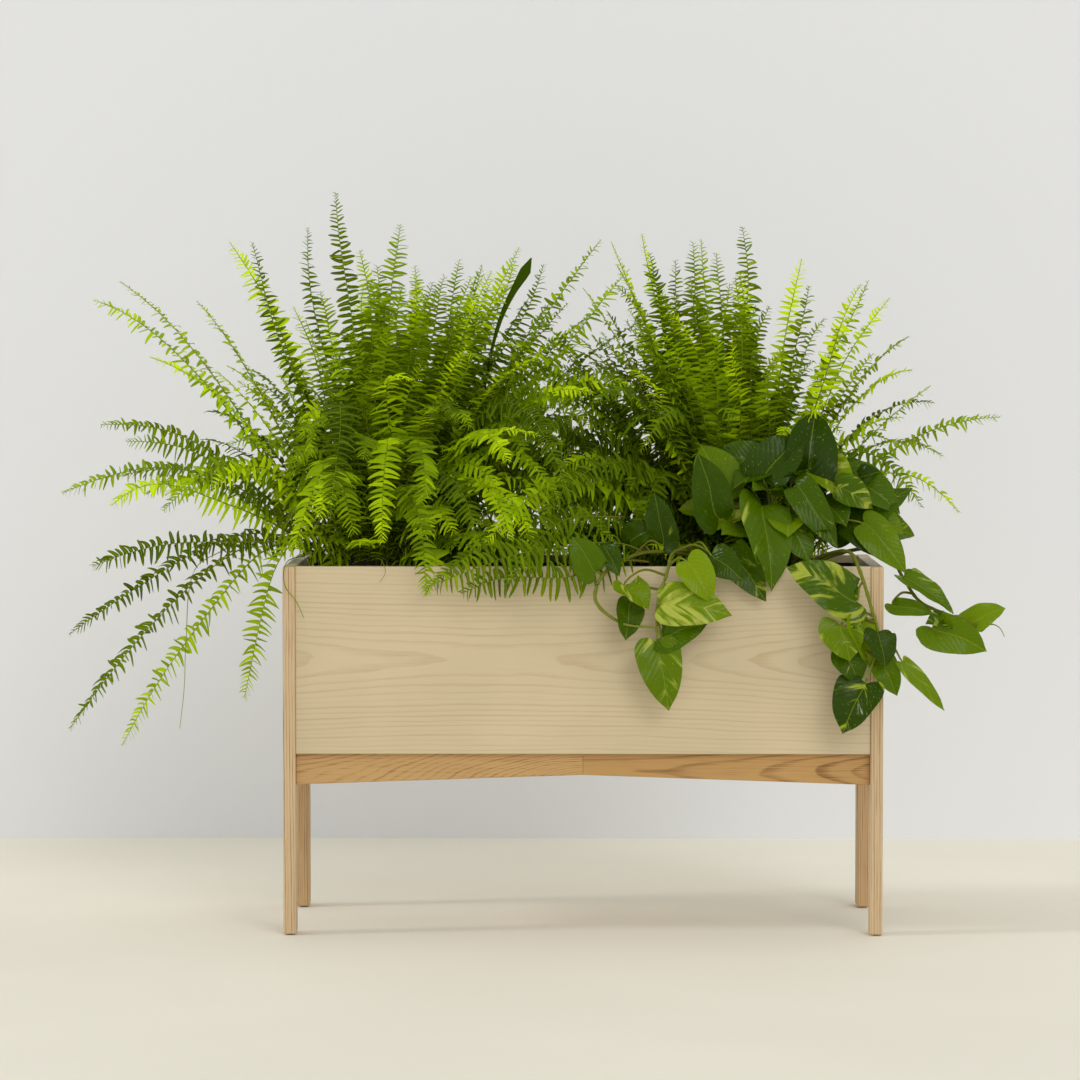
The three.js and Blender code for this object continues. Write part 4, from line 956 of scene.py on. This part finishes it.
# How a leaf folds along its midrib, in radians, cups, curls at its tip, skews and ripples
LEAF_FOLD_DRAW, LEAF_CUP_DRAW = (0.24, 0.52), (-0.5, 0.9)
LEAF_CUP, LEAF_CURL_DRAW, CURL_START, LEAF_SKEW = 0.28, (0, 0.1), 0.6, 0.06
RIPPLE, RIPPLES_DRAW = 0.0014, (14, 22)
VEIN_HEIGHT, VEINS, VEIN_SWEEP = 0.00028, 9, 0.45
# A leaf in its cell of the leaf map: its half width, its foot and its length
LEAF_CELLS = 9
CELL_HALF, CELL_FOOT, CELL_LENGTH = 0.44, 0.12, 0.82
# More leaves fill the plant: how far they stand from the crown, how much further their tips reach, how
# high the inmost and the outmost stand, how far their tips drop, and how wide they are
FILL_LEAVES = 30
FILL_REACH, FILL_LENGTH, FILL_SHIFT = [0.125, 0.075, 0], [0.075, 0.06, 0], (0.02, 0.035)
FILL_HEIGHTS, FILL_DROP_DRAW, FILL_WIDTH_DRAW = (0.19, 0.07), (-0.055, 0.03), (0.048, 0.066)
RIM_FOLD = 0.012
TENDRIL = ((0.15, -0.01, -0.098), (0.164, -0.012, -0.088), (0.177, -0.014, -0.093), (0.185, -0.014, -0.107))
TENDRIL_RADII = (0.0012, 0.0005)


def from_corner(place):
    x, out, up = place
    return np.array([HALF_WIDTH + x, -HALF_DEPTH - out, RIM + up])


def stalk_place(x, width):
    """A strip of the leaf map's top row, which is kept for stalks: its corner and its size."""
    return x, (LEAF_CELLS - 0.9) / LEAF_CELLS, width, 0.8 / LEAF_CELLS


def draped(points):
    """The same points with those inside the woodwork moved out, over the rim or to its nearest face."""
    inside = in_woodwork(points)
    over = inside & (points[..., 2] > RIM - RIM_FOLD)
    front = inside & ~over & (points[..., 1] < -LINER_HIGH.y)
    end = inside & ~over & ~front & (points[..., 0] > LINER_HIGH.x)
    points[over, 2] = RIM + 2 * PLANT_CLEARANCE
    points[front, 1] = -HALF_DEPTH - 2 * PLANT_CLEARANCE
    points[end, 0] = HALF_WIDTH + 2 * PLANT_CLEARANCE
    return points


def grow_leaf(growth, anchor, base, tip, width, number, random, facing=None):
    """A petiole from its vine to the leaf's base, and the heart-shaped blade beyond it."""
    halfway = lerp(anchor, base, PETIOLE_HALFWAY)
    halfway[2] += np.linalg.norm(base - anchor) * PETIOLE_LIFT
    middle = lerp(base, tip, 0.5) + BLADE_BULGE * width
    line = smooth_route([anchor, halfway, base, middle, tip], LEAF_STEPS)
    if facing is None:
        facing = np.array([0, -1, LEAF_FACES_UP + LEAF_NOD * (shuffle(number) - 0.5)])
    side = unit(np.cross(tip - base, facing))
    roll = (shuffle(number + len(LEAVES)) - 0.5) * LEAF_ROLL
    foot = 2 * LEAF_STEPS
    along, out, up = (vectors[foot:] for vectors in frames_along(line, side, roll))
    stem, midrib = line[:foot + 1], line[foot:]
    growth.add_tube(stem, np.linspace(*PETIOLE_RADII, len(stem)), stalk_place(number % 60 / 64, 0.012), 6)
    # The blade: rows follow the midrib, columns run out to the outline on both hands
    rows = np.linspace(0, 1, LEAF_ROWS)[:, None]
    joins, edge_along, edge_out = smooth_route(LEAF_OUTLINE, 6).T
    half = width * LEAF_BREADTH / 2
    edge_out = np.interp(rows, joins, edge_out) * (2 * half)
    columns = np.linspace(-1, 1, LEAF_COLUMNS)
    reach = np.abs(columns)
    lengthways = rows * (1 - reach) + np.interp(rows, joins, edge_along) * reach
    sideways = edge_out * columns
    length = np.linalg.norm(tip - base)
    shares = np.linspace(0, 1, len(midrib))
    place = read_off(lengthways, shares, midrib) + along[0] * np.minimum(lengthways, 0)[..., None] * length
    fold = random.uniform(*LEAF_FOLD_DRAW)
    cup = random.uniform(*LEAF_CUP_DRAW)
    rise = np.abs(sideways) * math.sin(fold) - cup * LEAF_CUP * sideways ** 2 / half
    ripple = RIPPLE * np.sin(rows * random.uniform(*RIPPLES_DRAW) + random.uniform(0, 6)) * reach ** 2
    ripple = ripple * np.sign(columns + 0.01)
    waves = np.sin((lengthways - VEIN_SWEEP * reach) * 2 * math.pi * VEINS) * np.minimum(1, reach * 4)
    curl = -random.uniform(*LEAF_CURL_DRAW) * length * np.clip(lengthways - CURL_START, 0, 1) ** 2 * 4
    height = rise + ripple + VEIN_HEIGHT * waves * (edge_out > 0.004) + curl
    skew = 1 + LEAF_SKEW * random.uniform(-1, 1) * np.sign(columns)
    points = (place + read_off(lengthways, shares, out) * (sideways * math.cos(fold) * skew)[..., None]
              + read_off(lengthways, shares, up) * height[..., None])
    u = number % LEAF_CELLS + 0.5 + CELL_HALF * sideways / half
    v = number // LEAF_CELLS + CELL_FOOT + CELL_LENGTH * lengthways
    growth.add_grid(draped(points)[None], pairs(u, v)[None] / LEAF_CELLS)


def pothos_material():
    shader = Shader("pothos_leaf")
    column, row, wide, tall = leaf_cells(shader, LEAF_CELLS)
    across, along = (wide - 0.5) / CELL_HALF, (tall - CELL_FOOT) / CELL_LENGTH
    out = abs(across)
    cell = shader.combine(column, row, 3.0)
    chance, tints = shader.get(("Value", "Color"), "TexWhiteNoise", {"Vector": cell}, noise_dimensions="2D")
    hue = shader.separate(tints)[1]
    green = shader.ramp(hue, [(0.0, (42, 66, 1)), (0.5, (76, 106, 2)), (1.0, (130, 156, 5))])
    # Side veins sweep from the midrib to the tip, and the pale marbling follows them
    sweep = along - out * 0.42
    streaky = shader.combine(across * 0.9 + column * 7.0, sweep * 5.5 + row * 9.0, 0.0)
    marble = shader.noise(streaky, 0.75, 5.0, 0.6, 0.5)
    amount = shader.spread(chance, 0.3, 1.0, 0.74, 0.5, smooth=False)
    pale = shader.spread(marble - amount, -0.02, 0.1) * 0.8
    color = shader.mix(pale, green, shader.mix(hue, srgb(170, 186, 52), srgb(198, 204, 96)))
    fleck = shader.spread(shader.noise(streaky, 9.0, 2.0, 0.6), 0.66, 0.72, 0.0, 0.7)
    color = shader.mix(fleck, color, srgb(188, 196, 70))
    midrib = shader.spread(out, 0.008, 0.03, 0.38, 0.0)
    color = shader.mix(midrib, color, srgb(156, 172, 56))
    comb = shader.math("SINE", sweep * (2 * math.pi * VEINS))
    color = shader.mix(shader.spread(comb, 0.7, 1.0, 0.0, 0.12), color, srgb(50, 70, 6))
    stem = shader.ramp(tall, [(0.0, (104, 100, 40)), (0.5, (118, 128, 36)), (1.0, (140, 152, 48))])
    color = shader.mix(shader.math("GREATER_THAN", row, LEAF_CELLS - 1.5), color, stem)
    normal = shader.bump(comb + shader.noise(streaky, 3.0), 0.0004, 0.35)
    glow = (1.5, 1.45, 0.5, 1)
    return leaf_surface(shader, color, glow, 0.22, roughness=0.19, normal=normal, specular=0.13)


def grow_pothos():
    random = np.random.default_rng(7)
    growth = Growth()
    crown = np.array([*CROWN, SOIL_HIGH.z])
    vines = {}
    for number, (name, route) in enumerate(VINES.items()):
        line = smooth_route([from_corner(place) for place in (VINE_ROOT, *route)], VINE_STEPS)
        vines[name] = line
        share = np.linspace(0, 1, len(line))
        knots = 1 + KNOT_SWELL * np.exp(-((share * VINE_KNOTS % 1 - 0.5) / KNOT_WIDTH) ** 2)
        place = stalk_place(0.94 + 0.013 * number, 0.01)
        growth.add_tube(line, np.interp(share, *VINE_RADII) * knots, place, 8)
    for number, (vine, along, base, tip, width) in enumerate(LEAVES):
        anchor = vines[vine][round(along * (len(vines[vine]) - 1))]
        grow_leaf(growth, anchor, from_corner(base), from_corner(tip), width, number, random)
    tendril = smooth_route([from_corner(place) for place in TENDRIL], VINE_STEPS)
    growth.add_tube(tendril, np.linspace(*TENDRIL_RADII, len(tendril)), place, 5)
    for i in range(FILL_LEAVES):
        share = (i + 0.5) / FILL_LEAVES
        angle = i * GOLDEN_ANGLE + 0.6
        out = np.array([math.cos(angle), math.sin(angle), 0])
        base = crown + out * FILL_REACH * lerp(0.4, 1.0, share) + [*FILL_SHIFT, lerp(*FILL_HEIGHTS, share)]
        tip = base + out * FILL_LENGTH + [0, 0, random.uniform(*FILL_DROP_DRAW)]
        facing = out * 0.5 + [0, -0.55, 0.75]
        width = random.uniform(*FILL_WIDTH_DRAW)
        grow_leaf(growth, crown + out * 0.01, base, tip, width, len(LEAVES) + i, random, facing)
    growth.piece("pothos_leaves_and_vines", pothos_material(), "pothos_leaf", "pothos")


# ---- loose earth

CRUMBS, CRUMB_SIZES = 1500, (0.0016, 0.0058)
GRAINS, GRAIN_SIZES = 130, (0.0018, 0.0034)
CUBE_CORNERS = np.array([(x, y, z) for x in (-1, 1) for y in (-1, 1) for z in (-1, 1)])
CUBE_FACES = np.array([(0, 1, 3, 2), (4, 6, 7, 5), (0, 4, 5, 1), (2, 3, 7, 6), (0, 2, 6, 4), (1, 5, 7, 3)])


def scatter(name, count, sizes, material, seed):
    """Lumps of earth or pale grains on the soil, each a cube knocked out of shape and half sunk."""
    random = np.random.default_rng(seed)
    margin = sizes[1] * 1.5 + LINER_WALL
    low, high = np.array(SOIL_LOW.xy) + margin, np.array(SOIL_HIGH.xy) - margin
    spots = random.uniform(low, high, (count, 2))
    size = random.uniform(*sizes, count)[:, None] / 2
    lumps = CUBE_CORNERS * random.uniform(0.55, 1.0, (count, 8, 3)) * size[..., None]
    x, y = turned(lumps[..., 0], lumps[..., 1], random.uniform(0, 2 * math.pi, count))
    z = lumps[..., 2] + (SOIL_HIGH.z + size * 0.3)
    points = np.stack([x + spots[:, :1], y + spots[:, 1:], z], axis=-1).reshape(-1, 3)
    faces = (CUBE_FACES + 8 * np.arange(count)[:, None, None]).reshape(-1, 4)
    lift_out(add_mesh(name, points, faces, material), "soil")


def spread_earth():
    scatter("soil_crumbs", CRUMBS, CRUMB_SIZES, earth("crumb_earth", (44, 31, 22), (98, 74, 54)), 3)
    pale = speckled("pale_grain", (186, 180, 168), (222, 218, 208), 900, 0.8)
    scatter("soil_grains", GRAINS, GRAIN_SIZES, pale, 4)


bpy.context.scene.view_settings.view_transform = "Standard"
add_camera()
add_room()
finish_woodwork()
finish_hardware()
grow_ferns()
grow_pothos()
spread_earth()

boxes = {"cad": cad_bounds, "visual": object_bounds()}
{name: [list(corner) for corner in box] for name, box in boxes.items()}
